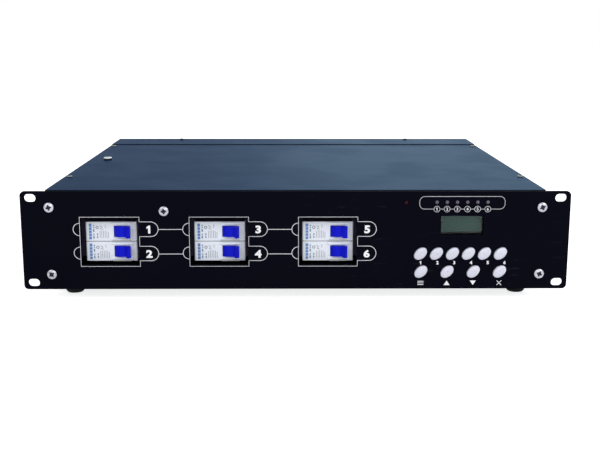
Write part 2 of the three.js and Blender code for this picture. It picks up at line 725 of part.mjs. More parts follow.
function signalInput() {
  const bezelBack = seat + signal.bezel;
  const floor = bezelBack - signalMouth.depth;
  const mouth = rod(signalMouth.radius, floor, bezelBack + overrun, 16);
  const pins = signalPinPlaces().map((place) =>
    rod(signalPin.radius, floor - overrun, floor + signalPin.length, 6).translate(place));
  return join(cut(signalShell(), mouth), ...pins);
}

function signalOutput() {
  const bezelBack = seat + signal.bezel;
  const floor = bezelBack - signalMouth.depth;
  const groove = turned([
    [signalMouth.insert, floor],
    [signalMouth.radius, floor],
    [signalMouth.radius, bezelBack + overrun],
    [signalMouth.insert, bezelBack + overrun],
    [signalMouth.insert, floor],
  ], 16);
  const holes = signalPinPlaces().map((place) =>
    rod(signalPin.radius + running, bezelBack - signalPin.length, bezelBack + overrun, 6).translate(place));
  const half = latch.width / 2 + running;
  const slot = block(
    [-half, half],
    [bezelBack - latch.length - latchTravel - running, bezelBack + overrun],
    [latch.above - running, latch.above + latch.height + running],
  );
  return cut(signalShell(), groove, ...holes, slot);
}

function outputLatch() {
  const bezelBack = seat + signal.bezel;
  const half = latch.width / 2;
  const back = bezelBack + latch.proud;
  return sideways(points([
    [bezelBack - latch.length, latch.above],
    [back - latch.height / 2, latch.above],
    [back, latch.above + latch.height / 2],
    [back, latch.above + latch.height],
    [bezelBack - latch.length, latch.above + latch.height],
  ]), -half, half);
}

// Gland body through the rear wall and its dome nut, with their origin on the wall
function cornerRadius(across) {
  return across / 2 / Math.cos(Math.PI / 6);
}

function hexagon(across) {
  return circle(0, 0, cornerRadius(across), 6);
}

function glandBody() {
  const hex = upright(hexagon(gland.hexWidth), seat, seat + gland.hexLength);
  const thread = rod(gland.thread, -shell.sheet - gland.inside, seat + gland.hexLength / 2, 16);
  const sleeveEnd = seat + gland.hexLength + glandSleeve.length;
  const sleeve = rod(glandSleeve.radius, seat + gland.hexLength / 2, sleeveEnd, 16);
  const bore = rod(gland.bore, -shell.sheet - gland.inside - overrun, sleeveEnd + overrun, 14);
  return cut(join(hex, thread, sleeve), bore);
}

function glandNut() {
  const front = seat + gland.hexLength + seat;
  const back = front + domeNut.length;
  const sleeveEnd = seat + gland.hexLength + glandSleeve.length + running;
  const inner = glandSleeve.radius + running;
  const outer = cornerRadius(domeNut.across);
  const dome = turned([
    [inner, front],
    [outer, front],
    [outer, (front + back) / 2],
    [domeNut.lip, back],
    [gland.bore, back],
    [gland.bore, sleeveEnd],
    [inner, sleeveEnd],
    [inner, front],
  ], 16);
  return dome.intersect(upright(hexagon(domeNut.across), front - overrun, back + overrun));
}

// Power board with its chokes, capacitors, drivers and switching devices
function powerBoard() {
  const under = powerTop - power.thickness;
  const deviceY = [powerBack - triac.depth, powerBack];
  const sheet = block([powerLeft, powerRight], [powerFront, powerBack], [under, powerTop]);
  const span = (powerRight - powerLeft) / outlet.count;
  const xs = Array.from({ length: outlet.count }, (_, i) => powerLeft + (i + 0.5) * span);
  const sunk = powerTop - power.thickness / 2;
  const behind = (depthShare) => powerFront + depthShare * (powerBack - powerFront);
  const onBoard = ({ length, width, height, depthShare }) => xs.map((x) => {
    const y = behind(depthShare);
    return block([x - length / 2, x + length / 2], [y - width / 2, y + width / 2], [sunk, powerTop + height]);
  });
  const chokes = xs.map((x) => turned([
    [choke.inner, sunk],
    [choke.outer, sunk],
    [choke.outer, powerTop + choke.height],
    [choke.inner, powerTop + choke.height],
    [choke.inner, sunk],
  ], 10, "z").translate([x, behind(choke.depthShare), 0]));
  const devices = xs.map((x) =>
    block([x - triac.width / 2, x + triac.width / 2], deviceY, [sunk, powerTop + triac.height]));
  return join(sheet, ...chokes, ...onBoard(capacitor), ...onBoard(relay), ...devices, ...boardPosts(under));
}

function boardPosts(under) {
  const inset = 2 * post.radius;
  const xs = [powerLeft + inset, (powerLeft + powerRight) / 2, powerRight - inset];
  const ys = [powerFront + inset, powerBack - 2 * inset];
  return xs.flatMap((x) => ys.map((y) =>
    rod(post.radius, floorTop + seat, under + power.thickness / 2, 6, "z").translate([x, y, 0])));
}

// Finned heatsink along X, its wall against the switching devices
function finnedSink() {
  const { depth, wall, height, fins, fin, overhang } = heatsink;
  const bottom = floorTop + seat;
  const gap = (height - fins * fin) / (fins - 1);
  const outline = [[sinkFront, bottom], [sinkFront + depth, bottom]];
  for (let i = 0; i < fins; i++) {
    const under = bottom + i * (fin + gap);
    if (i > 0) outline.push([sinkFront + wall, under], [sinkFront + depth, under]);
    outline.push([sinkFront + depth, under + fin]);
    if (i < fins - 1) outline.push([sinkFront + wall, under + fin]);
  }
  outline.push([sinkFront, bottom + height]);
  return sideways(points(outline), powerLeft - overhang, powerRight + overhang);
}

// Mains transformer of the control electronics
function controlTransformer() {
  const { width, depth, height, fromSide, fromFront, window } = coreBlock;
  const bottom = floorTop + seat;
  const x = innerX - fromSide;
  const y = caseFront + fromFront;
  const core = block([x - width / 2, x + width / 2], [y - depth / 4, y + depth / 4], [bottom, bottom + height]);
  const bobbinHalf = width / 2 - coil.margin;
  const bobbin = block([x - bobbinHalf, x + bobbinHalf], [y - depth / 2, y + depth / 2],
    [bottom + coil.stand, bottom + height - coil.stand]);
  const lug = block([x - width / 2 - window / 2, x + width / 2 + window / 2], [y - depth / 4, y + depth / 4],
    [bottom, bottom + coil.stand / 2]);
  return join(core, bobbin, lug);
}

// Row of mains terminals beside the gland
function mainsTerminals() {
  const { width, pitch, height, poles, step, entry, fromSide } = terminalRow;
  const left = fromSide - innerX;
  const bottom = floorTop + seat;
  const back = trayBack - flange.rear - gland.inside - 2 * pitch;
  const front = back - poles * pitch;
  const body = sideways(rectangle(front, back, bottom, bottom + height), left - width / 2, left + width / 2);
  const shelves = [-1, 1].map((side) => {
    const xs = [side * (width / 2 - step / 2), side * (width / 2 + overrun)].sort((a, b) => a - b);
    return block(xs.map((x) => left + x), [front - overrun, back + overrun], [bottom + height - step, caseTop]);
  });
  const screws = Array.from({ length: poles }, (_, i) =>
    rod(entry, bottom + height - step, bottom + height + overrun, 8, "z")
      .translate([left, front + (i + 0.5) * pitch, 0]));
  return cut(body, ...shelves, ...screws);
}

// Fan frame against the right wall, with the motor cup on struts at the wall's side
function fanFrame() {
  const right = innerX - seat;
  const left = right - fan.thickness;
  const half = fan.size / 2;
  const strutDepth = motor.depth / 2;
  const body = sideways(rounded(fanY - half, fanY + half, middleZ - half, middleZ + half, fan.corner, 1), left, right);
  const bore = rod(fan.bore, left - overrun, right + overrun, 20, "x").translate([0, fanY, middleZ]);
  const cup = rod(motor.radius, right - motor.depth, right, 12, "x").translate([0, fanY, middleZ]);
  const across = fan.strut / 2;
  const struts = [
    block([right - strutDepth, right], [fanY - half, fanY + half], [middleZ - across, middleZ + across]),
    block([right - strutDepth, right], [fanY - across, fanY + across], [middleZ - half, middleZ + half]),
  ].map((strut) => strut.intersect(body));
  const axleHole = rod(axle.radius + running, right - motor.depth - overrun, right - seat, 10, "x");
  return cut(join(cut(body, bore), cup, ...struts), axleHole.translate([0, fanY, middleZ]));
}

// Impeller with its origin on the axle, at the face of the motor cup
function fanImpeller() {
  const depth = fan.thickness - motor.depth - seat - fan.intake;
  const hub = rod(fan.hub, -depth, -seat, 16, "x");
  const shaft = rod(axle.radius, -fan.intake, axle.length, 8, "x");
  const tip = fan.bore - blade.tipGap;
  const half = blade.chord / 2;
  const vane = sideways(
    rectangle(fan.hub - blade.rootSink, tip, -blade.thickness / 2, blade.thickness / 2), -half, half,
  );
  const blades = Array.from({ length: blade.count }, (_, i) =>
    pitched(vane, depth).rotate([i * 360 / blade.count, 0, 0]));
  return join(hub, shaft, ...blades);
}

// A vane turned to its pitch about its own length, set at the middle of the hub
function pitched(vane, depth) {
  return vane.rotate([0, blade.pitchAngle - 90, 0]).translate([-depth / 2, 0, 0]);
}

// Finishes
const blackPaint = { color: 0x0d0d14, roughness: 0.42, metalness: 0.1 };
const satinSteel = { color: 0x27303a, roughness: 0.45, metalness: 0.35 };
const zincSteel = { color: 0xa9abb2, roughness: 0.4, metalness: 0.85 };
const darkRubber = { color: 0x101012, roughness: 0.85, metalness: 0 };
const breakerWhite = { color: 0xd4dbe6, roughness: 0.35, metalness: 0 };
const toggleBlue = { color: 0x1226b4, roughness: 0.3, metalness: 0 };
const buttonSilver = { color: 0xcfd1df, roughness: 0.35, metalness: 0.2 };
const clearPane = { color: 0x9fb0a8, roughness: 0.1, metalness: 0 };
const displayGreen = { color: 0x3d5251, roughness: 0.35, metalness: 0 };
const boardGreen = { color: 0x1d5a38, roughness: 0.5, metalness: 0 };
const lampRed = { color: 0x4a0d14, roughness: 0.2, metalness: 0 };
const lampGrey = { color: 0x8a8690, roughness: 0.3, metalness: 0 };
const outletBlack = { color: 0x17181a, roughness: 0.5, metalness: 0 };
const nylonBlack = { color: 0x1b1c1f, roughness: 0.6, metalness: 0 };
const aluminium = { color: 0xb4b7ba, roughness: 0.45, metalness: 0.9 };
const windingBrown = { color: 0x7a4a26, roughness: 0.5, metalness: 0.2 };
const terminalGrey = { color: 0xc9c9c2, roughness: 0.6, metalness: 0 };

// A named mesh of its own material, from a solid and where it goes
function piece(name, body, finish, place = [0, 0, 0], turn = 0) {
  const mesh = body.getMesh();
  const geometry = new THREE.BufferGeometry();
  geometry.setAttribute("position", new THREE.BufferAttribute(mesh.vertProperties, 3));
  geometry.setIndex(new THREE.BufferAttribute(mesh.triVerts, 1));
  const made = new THREE.Mesh(geometry, new THREE.MeshStandardMaterial({ ...finish, flatShading: true }));
  made.name = name;
  made.position.set(...place);
  made.rotation.z = turn;
  return made;
}

function assembly(...pieces) {
  return new THREE.Group().add(...pieces);
}

function caseParts() {
  const footBody = rubberFoot();
  const footX = sideX - foot.fromSide;
  const footYs = { front: plate.thickness + foot.fromFront, rear: caseBack - foot.fromRear };
  const feet = Object.entries(footYs).flatMap(([end, y]) => [
    piece("foot_" + end + "_left", footBody, darkRubber, [-footX, y, 0]),
    piece("foot_" + end + "_right", footBody, darkRubber, [footX, y, 0]),
  ]);
  return assembly(
    piece("front_panel", frontPlate(), blackPaint),
    piece("chassis_tray", tray(), satinSteel),
    piece("top_cover", topCover(), satinSteel),
    piece("rear_panel", rearPanel(), satinSteel),
    ...feet,
  );
}

function screws() {
  const plateScrewBody = panScrew(plateScrew);
  const earthBody = panScrew(earthScrew).rotate([-90, 0, 0]);
  const plateScrews = Object.entries(plateScrewPlaces()).map(([name, { x, z }]) =>
    piece("panel_screw_" + name, plateScrewBody, zincSteel, [x, 0, z]));
  const earthPlace = [earthScrewPlace.x, earthScrewPlace.y, coverTop];
  return assembly(...plateScrews, piece("earth_screw", earthBody, zincSteel, earthPlace));
}

function breakers() {
  const caseBody = breakerCase();
  const leverBody = breakerLever();
  const pairs = groupXs.flatMap((x, i) => breakerZs.flatMap((z, j) => {
    const number = 2 * i + j + 1;
    const pivot = [x + lever.offset, group.setback + lever.pivotDepth, z];
    return [
      piece("breaker_" + number, caseBody, breakerWhite, [x, group.setback, z]),
      piece("breaker_lever_" + number, leverBody, toggleBlue, pivot, leverRestTilt * degrees),
    ];
  }));
  return assembly(piece("breaker_bracket", breakerBracket(), zincSteel), ...pairs);
}

function controls() {
  const buttonBody = ovalButton();
  const buttons = buttonPlaces().map(({ name, x, z }) => piece(name, buttonBody, buttonSilver, [x, 0, z]));
  const barPlace = [0, 0, middleZ + lampBar.rise];
  const lampPlace = [powerLampX, 0, middleZ + powerLamp.rise];
  return assembly(
    piece("display_window", displayPane(), clearPane),
    piece("display_module", displayModule(), displayGreen),
    piece("control_board", controlBoard(), boardGreen),
    piece("power_led", powerLampBody(), lampRed, lampPlace),
    piece("channel_led_bar", channelLampBar(), lampGrey, barPlace),
    ...buttons,
  );
}

function rearParts() {
  const outletBody = mainsOutlet();
  const outlets = outletXs.map((x, i) =>
    piece("mains_outlet_" + (i + 1), outletBody, outletBlack, [x, caseBack, middleZ]));
  const inputPlace = [signalX, caseBack, middleZ + signal.rise];
  const outputPlace = [signalX, caseBack, middleZ - signal.rise];
  const glandPlace = [glandX, caseBack, middleZ];
  return assembly(
    ...outlets,
    piece("signal_input_socket", signalInput(), zincSteel, inputPlace),
    piece("signal_output_socket", signalOutput(), zincSteel, outputPlace),
    piece("signal_output_latch", outputLatch(), zincSteel, outputPlace),
    piece("gland_body", glandBody(), nylonBlack, glandPlace),
    piece("gland_nut", glandNut(), nylonBlack, glandPlace),
  );
}

function insideParts() {
  const impellerPlace = [innerX - seat - motor.depth, fanY, middleZ];
  return assembly(
    piece("power_board", powerBoard(), boardGreen),
    piece("heatsink", finnedSink(), aluminium),
    piece("control_transformer", controlTransformer(), windingBrown),
    piece("mains_terminal_block", mainsTerminals(), terminalGrey),
    piece("fan_frame", fanFrame(), nylonBlack),
    piece("fan_impeller", fanImpeller(), nylonBlack, impellerPlace),
  );
}

const dimmerPack = assembly(caseParts(), screws(), breakers(), controls(), rearParts(), insideParts());
dimmerPack.position.y = (foremost - rearmost) / 2;

export default dimmerPack;
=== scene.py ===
import json
import math

import bmesh
import bpy
from mathutils import Matrix, Vector


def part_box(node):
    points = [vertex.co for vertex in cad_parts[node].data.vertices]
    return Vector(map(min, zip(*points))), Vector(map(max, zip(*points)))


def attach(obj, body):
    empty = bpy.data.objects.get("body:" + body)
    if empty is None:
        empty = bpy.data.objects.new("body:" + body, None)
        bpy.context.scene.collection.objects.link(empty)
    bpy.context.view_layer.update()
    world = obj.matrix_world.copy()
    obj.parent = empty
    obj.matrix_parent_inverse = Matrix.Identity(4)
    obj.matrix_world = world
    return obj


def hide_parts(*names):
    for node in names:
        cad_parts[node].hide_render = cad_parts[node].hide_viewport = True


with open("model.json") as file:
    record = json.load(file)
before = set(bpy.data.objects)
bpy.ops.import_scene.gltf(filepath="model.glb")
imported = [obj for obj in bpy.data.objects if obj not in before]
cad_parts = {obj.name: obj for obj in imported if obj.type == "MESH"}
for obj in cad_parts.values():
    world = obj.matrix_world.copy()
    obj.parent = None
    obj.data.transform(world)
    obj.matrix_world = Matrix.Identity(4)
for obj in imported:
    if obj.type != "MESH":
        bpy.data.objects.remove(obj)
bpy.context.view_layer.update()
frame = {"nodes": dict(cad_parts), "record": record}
scene = bpy.context.scene
record = frame["record"]
body_of = {node: body for body, nodes in record["behaviour"]["bodies"].items() for node in nodes}

# Places read from the frame, in metres
plate_low, plate_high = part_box("front_panel")
rear_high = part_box("rear_panel")[1]
plate_thickness = 0.003
plate_front = plate_low.y
plate_back = plate_front + plate_thickness
plate_middle = (plate_low.z + plate_high.z) / 2
case_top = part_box("top_cover")[1].z
case_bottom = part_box("chassis_tray")[0].z
case_back = rear_high.y
case_side = rear_high.x
strip_top = rear_high.z

# Gaps round what moves or passes through the plate, and between pieces that only touch
running_gap = 0.00035
touching_gap = 0.0003
micrometre = 1e-6


def turn_by(degrees, axis="Z"):
    return Matrix.Rotation(math.radians(degrees), 4, axis)


def at(x, y, z):
    return Matrix.Translation((x, y, z))


def middle(node):
    low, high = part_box(node)
    return (low + high) / 2


# Turns that stand a flat outline up, so that its Z points to the front, the rear, up or down
to_front = turn_by(90, "X")
to_rear = turn_by(180) @ to_front
to_top = Matrix.Identity(4)
to_ground = turn_by(180, "X")


# Shader nodes


def fill(tree, made, inputs):
    """Sets or links the inputs of a shader node."""
    for key, value in inputs.items():
        if isinstance(value, bpy.types.NodeSocket):
            tree.links.new(value, made.inputs[key])
        else:
            made.inputs[key].default_value = value
    return made


def shade(tree, kind, inputs, **settings):
    """A shader node with its settings and inputs."""
    made = tree.nodes.new(kind)
    for key, value in settings.items():
        setattr(made, key, value)
    return fill(tree, made, inputs)


def rising(tree, value, low, high, first=0.0, last=1.0):
    """A value that goes smoothly from first to last as another rises from low to high."""
    limits = {"Value": value, "From Min": low, "From Max": high, "To Min": first, "To Max": last}
    return shade(tree, "ShaderNodeMapRange", limits, interpolation_type="SMOOTHSTEP").outputs["Result"]


def reckoned(tree, operation, first, second):
    """One value worked out from two."""
    return shade(tree, "ShaderNodeMath", {0: first, 1: second}, operation=operation).outputs["Value"]


def noise(tree, vector, scale, detail=2.0):
    inputs = {"Vector": vector, "Scale": scale, "Detail": detail}
    return shade(tree, "ShaderNodeTexNoise", inputs).outputs["Fac"]


def mixed(tree, mask, first, second):
    """A colour between two others."""
    made = tree.nodes.new("ShaderNodeMix")
    made.data_type = "RGBA"
    factor, a, b = made.inputs[0], made.inputs[6], made.inputs[7]
    tree.links.new(mask, factor)
    for socket, colour in ((a, first), (b, second)):
        if isinstance(colour, bpy.types.NodeSocket):
            tree.links.new(colour, socket)
        else:
            socket.default_value = (*colour, 1.0)
    return made.outputs[2]


def effect(name, inputs, outputs):
    """An empty node group that takes a vector and float values and puts out float values."""
    tree = bpy.data.node_groups.new(name, "ShaderNodeTree")
    tree.interface.new_socket("Vector", in_out="INPUT", socket_type="NodeSocketVector")
    for label, value in inputs.items():
        socket = tree.interface.new_socket(label, in_out="INPUT", socket_type="NodeSocketFloat")
        socket.default_value = value
    for label in outputs:
        tree.interface.new_socket(label, in_out="OUTPUT", socket_type="NodeSocketFloat")
    start = tree.nodes.new("NodeGroupInput")
    end = tree.nodes.new("NodeGroupOutput")
    return tree, start.outputs, end.inputs


def skin_effect():
    """Fine skin of paint or plastic, as a height for the bump, and a slow drift of tone."""
    tree, given, made = effect("fine_skin", {"Grain Scale": 1400.0}, ["Height", "Drift"])
    tree.links.new(noise(tree, given["Vector"], given["Grain Scale"]), made["Height"])
    slow = noise(tree, given["Vector"], 16.0, 3.0)
    tree.links.new(rising(tree, slow, 0.3, 0.7), made["Drift"])
    return tree


def dust_effect():
    """Dust on what faces up, in patches and specks."""
    tree, given, made = effect("settled_dust", {"Amount": 0.3}, ["Mask"])
    normal = shade(tree, "ShaderNodeNewGeometry", {}).outputs["Normal"]
    facing = shade(tree, "ShaderNodeSeparateXYZ", {"Vector": normal}).outputs["Z"]
    upward = rising(tree, facing, 0.55, 1.0)
    patch = rising(tree, noise(tree, given["Vector"], 28.0, 6.0), 0.42, 0.75)
    speck = rising(tree, noise(tree, given["Vector"], 420.0), 0.66, 0.8)
    settled = reckoned(tree, "MULTIPLY", reckoned(tree, "MAXIMUM", patch, speck), upward)
    tree.links.new(reckoned(tree, "MULTIPLY", settled, given["Amount"]), made["Mask"])
    return tree


def scuff_effect():
    """Sparse short rubs, lying mostly from left to right."""
    tree, given, made = effect("light_scuffs", {"Amount": 0.4}, ["Mask"])
    stretched = shade(tree, "ShaderNodeMapping", {
        "Vector": given["Vector"], "Scale": (10.0, 70.0, 70.0), "Rotation": (0.0, 0.0, 0.12)})
    rub = rising(tree, noise(tree, stretched.outputs["Vector"], 5.0, 4.0), 0.62, 0.74)
    here = rising(tree, noise(tree, given["Vector"], 11.0), 0.48, 0.66)
    rubbed = reckoned(tree, "MULTIPLY", rub, here)
    tree.links.new(reckoned(tree, "MULTIPLY", rubbed, given["Amount"]), made["Mask"])
    return tree


fine_skin = skin_effect()
settled_dust = dust_effect()
light_scuffs = scuff_effect()
dust_colour = (0.34, 0.33, 0.31)


def placed(tree, group, inputs):
    """A node group in a material, with its inputs set."""
    made = tree.nodes.new("ShaderNodeGroup")
    made.node_tree = group
    return fill(tree, made, inputs).outputs


def new_material(name):
    """A material with its shader and the object's coordinates."""
    material = bpy.data.materials.new(name)
    material.use_nodes = True
    tree = material.node_tree
    shader = tree.nodes["Principled BSDF"]
    coords = tree.nodes.new("ShaderNodeTexCoord").outputs["Object"]
    return material, tree, shader, coords


def set_skin(tree, shader, coords, smooth, rough, grain, depth):
    """Roughness and bump of a fine skin, its depth in micrometres. Gives back its drift of tone."""
    skin = placed(tree, fine_skin, {"Vector": coords, "Grain Scale": grain})
    bump = shade(tree, "ShaderNodeBump", {"Height": skin["Height"], "Distance": depth * micrometre})
    fill(tree, shader, {"Normal": bump.outputs["Normal"],
                        "Roughness": rising(tree, skin["Drift"], 0.0, 1.0, smooth, rough)})
    return skin["Drift"]


def surface(name, dark, light, smooth, rough, grain, depth, metallic=0.0, specular=0.5, dust=0.0,
            scuffs=0.0, scuff_colour=(0.3, 0.32, 0.34), coat=0.0, edge_tint=(1.0, 1.0, 1.0)):
    """A finish between two tones and two roughnesses, with a grain and its depth in micrometres."""
    material, tree, shader, coords = new_material(name)
    colour = mixed(tree, set_skin(tree, shader, coords, smooth, rough, grain, depth), dark, light)
    for group, amount, worn in ((light_scuffs, scuffs, scuff_colour), (settled_dust, dust, dust_colour)):
        if amount:
            mask = placed(tree, group, {"Vector": coords, "Amount": amount})["Mask"]
            colour = mixed(tree, mask, colour, worn)
    fill(tree, shader, {"Base Color": colour, "Metallic": metallic, "Specular IOR Level": specular,
                        "Coat Weight": coat, "Specular Tint": (*edge_tint, 1.0)})
    return material


# Paints and metals
panel_black = surface(
    "panel_powder_coat", (0.0028, 0.0027, 0.006), (0.0034, 0.0033, 0.007), 0.5, 0.6, 1800, 12, metallic=0.75,
    specular=0.03, dust=0.005, scuffs=0.02, edge_tint=(0.16, 0.25, 0.36))
case_paint = surface(
    "case_powder_coat", (0.0055, 0.0095, 0.0195), (0.0065, 0.011, 0.022), 0.5, 0.54, 1500, 20, metallic=0.75,
    specular=0.3, dust=0.012, scuffs=0.07, scuff_colour=(0.2, 0.26, 0.32), edge_tint=(0.32, 0.54, 0.87))
bracket_black = surface(
    "bracket_paint", (0.0016, 0.001, 0.006), (0.0024, 0.0016, 0.009), 0.5, 0.62, 1500, 10, specular=0.05)
bare_zinc = surface(
    "bright_zinc", (0.36, 0.36, 0.41), (0.46, 0.46, 0.52), 0.26, 0.4, 3200, 6, metallic=1.0, dust=0.05)
bright_nickel = surface(
    "bright_nickel", (0.6, 0.64, 0.68), (0.7, 0.74, 0.78), 0.3, 0.42, 3200, 6, metallic=0.9)
dull_zinc = surface(
    "dull_zinc", (0.16, 0.19, 0.19), (0.24, 0.28, 0.28), 0.35, 0.5, 3000, 8, metallic=1.0, dust=0.05)
black_zinc = surface(
    "black_zinc", (0.02, 0.02, 0.024), (0.035, 0.035, 0.04), 0.32, 0.45, 2600, 8, metallic=0.9)
# Painted shade for the faces deep in a screw's cross recess, where little light reaches
recess_painted_shade = surface(
    "screw_recess_painted_shade", (0.04, 0.038, 0.07), (0.055, 0.052, 0.09), 0.6, 0.75, 2600, 10, specular=0.2)
satin_nickel = surface(
    "satin_nickel", (0.38, 0.37, 0.36), (0.46, 0.45, 0.44), 0.28, 0.42, 2400, 6, metallic=1.0)
gold_plate = surface(
    "gold_plate", (0.72, 0.5, 0.2), (0.82, 0.6, 0.27), 0.18, 0.28, 2400, 3, metallic=1.0)
brass = surface(
    "contact_brass", (0.55, 0.38, 0.13), (0.66, 0.47, 0.18), 0.25, 0.4, 2400, 5, metallic=1.0)
extruded_aluminium = surface(
    "extruded_aluminium", (0.5, 0.51, 0.52), (0.6, 0.61, 0.62), 0.32, 0.48, 1500, 10, metallic=1.0)

# Plastics, rubber and lamps
breaker_plastic = surface(
    "breaker_plastic", (0.74, 0.78, 0.88), (0.78, 0.82, 0.91), 0.28, 0.38, 1100, 10, coat=0.1)
# Painted shade: the white breaker body behind the shoulders, seen deep beside the nose, coloured dark grey
painted_body_shade = surface(
    "breaker_body_plastic", (0.09, 0.08, 0.15), (0.11, 0.1, 0.18), 0.5, 0.6, 1100, 10, specular=0.2)
toggle_blue = surface(
    "toggle_blue", (0.002, 0.005, 0.52), (0.003, 0.007, 0.58), 0.3, 0.4, 1300, 10, specular=0.1)
button_silver = surface(
    "button_lacquer", (0.58, 0.59, 0.7), (0.66, 0.67, 0.78), 0.3, 0.4, 2600, 12, metallic=0.1, coat=0.2)
lamp_red = surface(
    "unlit_red_lens", (0.03, 0.0006, 0.008), (0.04, 0.0008, 0.011), 0.3, 0.4, 900, 3, specular=0.1)
lamp_clear = surface(
    "unlit_clear_lens", (0.1, 0.09, 0.12), (0.13, 0.12, 0.15), 0.15, 0.25, 900, 3, specular=0.3)
lamp_sleeve = surface("lamp_sleeve", (0.02, 0.02, 0.022), (0.03, 0.03, 0.033), 0.5, 0.6, 1200, 20)
display_film = surface(
    "display_film", (0.022, 0.052, 0.048), (0.028, 0.062, 0.054), 0.4, 0.46, 1200, 2, specular=0.1)
dark_bezel = surface("display_frame", (0.006, 0.006, 0.009), (0.01, 0.01, 0.013), 0.35, 0.45, 2000, 10)
outlet_black = surface(
    "outlet_thermoset", (0.009, 0.009, 0.011), (0.014, 0.014, 0.017), 0.36, 0.5, 1000, 30, specular=0.4,
    dust=0.05)
nylon_black = surface(
    "black_nylon", (0.011, 0.011, 0.013), (0.018, 0.018, 0.02), 0.5, 0.62, 1300, 30, specular=0.4, dust=0.05)
foot_rubber = surface(
    "foot_rubber", (0.006, 0.006, 0.0075), (0.011, 0.011, 0.013), 0.75, 0.9, 900, 40, specular=0.25, dust=0.1)
seal_rubber = surface(
    "seal_rubber", (0.012, 0.012, 0.013), (0.02, 0.02, 0.021), 0.7, 0.85, 1500, 30, specular=0.3)
terminal_grey = surface("terminal_plastic", (0.45, 0.45, 0.41), (0.55, 0.55, 0.5), 0.45, 0.6, 900, 20)

# Inks
white_ink = surface("white_ink", (0.6, 0.61, 0.66), (0.72, 0.73, 0.78), 0.45, 0.6, 2800, 8)
bright_ink = surface("bright_white_ink", (0.8, 0.8, 0.84), (0.88, 0.88, 0.92), 0.45, 0.6, 2800, 8)
grey_ink = surface("grey_ink", (0.22, 0.24, 0.26), (0.3, 0.32, 0.34), 0.5, 0.6, 2800, 4)
dark_ink = surface("dark_ink", (0.05, 0.06, 0.09), (0.08, 0.09, 0.13), 0.5, 0.6, 2800, 4)
blue_ink = surface("blue_ink", (0.08, 0.2, 0.48), (0.12, 0.27, 0.56), 0.45, 0.55, 2800, 4)
slate_ink = surface("slate_ink", (0.11, 0.17, 0.3), (0.15, 0.22, 0.36), 0.45, 0.55, 2800, 4)
# Painted shadow of the upper toggle guard, printed as a grey strip on the breaker's face
shadow_grey = surface("painted_toggle_shadow", (0.36, 0.38, 0.39), (0.42, 0.44, 0.45), 0.5, 0.6, 1100, 10)


def pane_material():
    """Clear acrylic in front of the display."""
    material, tree, shader, coords = new_material("clear_acrylic")
    set_skin(tree, shader, coords, 0.02, 0.06, 300, 1)
    fill(tree, shader, {"Base Color": (0.93, 0.97, 0.96, 1.0), "Transmission Weight": 1.0, "IOR": 1.2})
    return material


def circuit_material():
    """Green lacquer over copper tracks, with tinned pads."""
    material, tree, shader, coords = new_material("circuit_board")
    drift = set_skin(tree, shader, coords, 0.3, 0.42, 1500, 10)
    tracks = shade(tree, "ShaderNodeTexBrick", {
        "Vector": coords, "Scale": 90.0, "Mortar Size": 0.035, "Color1": (0, 0, 0, 1), "Color2": (0, 0, 0, 1),
        "Mortar": (1, 1, 1, 1)})
    pads = shade(tree, "ShaderNodeTexVoronoi", {"Vector": coords, "Scale": 190.0}).outputs["Distance"]
    lacquer = mixed(tree, drift, (0.012, 0.075, 0.03), (0.018, 0.1, 0.042))
    tracked = mixed(tree, tracks.outputs["Color"], lacquer, (0.05, 0.19, 0.07))
    tinned = mixed(tree, rising(tree, pads, 0.2, 0.14), tracked, (0.5, 0.5, 0.48))
    tree.links.new(tinned, shader.inputs["Base Color"])
    return material


def laminated_material():
    """Varnished core plates lying on each other, and a winding of brown wire."""
    material, tree, shader, coords = new_material("varnished_laminations")
    drift = set_skin(tree, shader, coords, 0.35, 0.5, 1200, 20)
    plates = shade(tree, "ShaderNodeTexWave", {"Vector": coords, "Scale": 320.0, "Distortion": 0.6},
                   bands_direction="Y").outputs["Fac"]
    tone = mixed(tree, drift, (0.055, 0.03, 0.015), (0.09, 0.05, 0.024))
    tree.links.new(mixed(tree, plates, tone, (0.16, 0.09, 0.045)), shader.inputs["Base Color"])
    return material


clear_acrylic = pane_material()
circuit_green = circuit_material()
laminations = laminated_material()


# Outlines, as lists of points in metres


def oval_arc(x, y, across, up, first, last, steps):
    """Points of an oval round a centre, from one angle in degrees to another."""
    angles = [math.radians(first + (last - first) * i / steps) for i in range(steps + 1)]
    return [(x + across * math.cos(angle), y + up * math.sin(angle)) for angle in angles]


def arc(x, y, radius, first, last, steps):
    return oval_arc(x, y, radius, radius, first, last, steps)


def circle(x, y, radius, steps):
    return arc(x, y, radius, 0, 360, steps)[1:]


def rounded(x0, x1, y0, y1, radius, steps):
    """A rectangle with rounded corners."""
    corners = [(x1, y0, -90), (x1, y1, 0), (x0, y1, 90), (x0, y0, 180)]
    inward = [(-radius, radius), (-radius, -radius), (radius, -radius), (radius, radius)]
    return [point for (x, y, turn), (dx, dy) in zip(corners, inward)
            for point in arc(x + dx, y + dy, radius, turn, turn + 90, steps)]


def rounded_about(x, y, half_width, half_height, radius, steps):
    """A rectangle with rounded corners about a centre."""
    return rounded(x - half_width, x + half_width, y - half_height, y + half_height, radius, steps)


def obround(x, y, length, height, steps=10):
    """A slot with round ends."""
    end = (length - height) / 2
    return arc(x + end, y, height / 2, -90, 90, steps) + arc(x - end, y, height / 2, 90, 270, steps)


def leaning_oval(x, y, along, across, lean, steps=48):
    cos, sin = math.cos(math.radians(lean)), math.sin(math.radians(lean))
    flat = oval_arc(0, 0, along, across, 0, 360, steps)[:-1]
    return [(x + u * cos - v * sin, y + u * sin + v * cos) for u, v in flat]


# Meshes

doubles_apart = 1e-7


def shape_from(curve):
    """The mesh of a curve or text, as a bmesh with its doubles merged."""
    holder = bpy.data.objects.new("holder", curve)
    mesh = bpy.data.meshes.new_from_object(holder)
    bm = bmesh.new()
    bm.from_mesh(mesh)
    bpy.data.objects.remove(holder)
    bpy.data.meshes.remove(mesh)
    bmesh.ops.remove_doubles(bm, verts=bm.verts, dist=doubles_apart)
    return bm


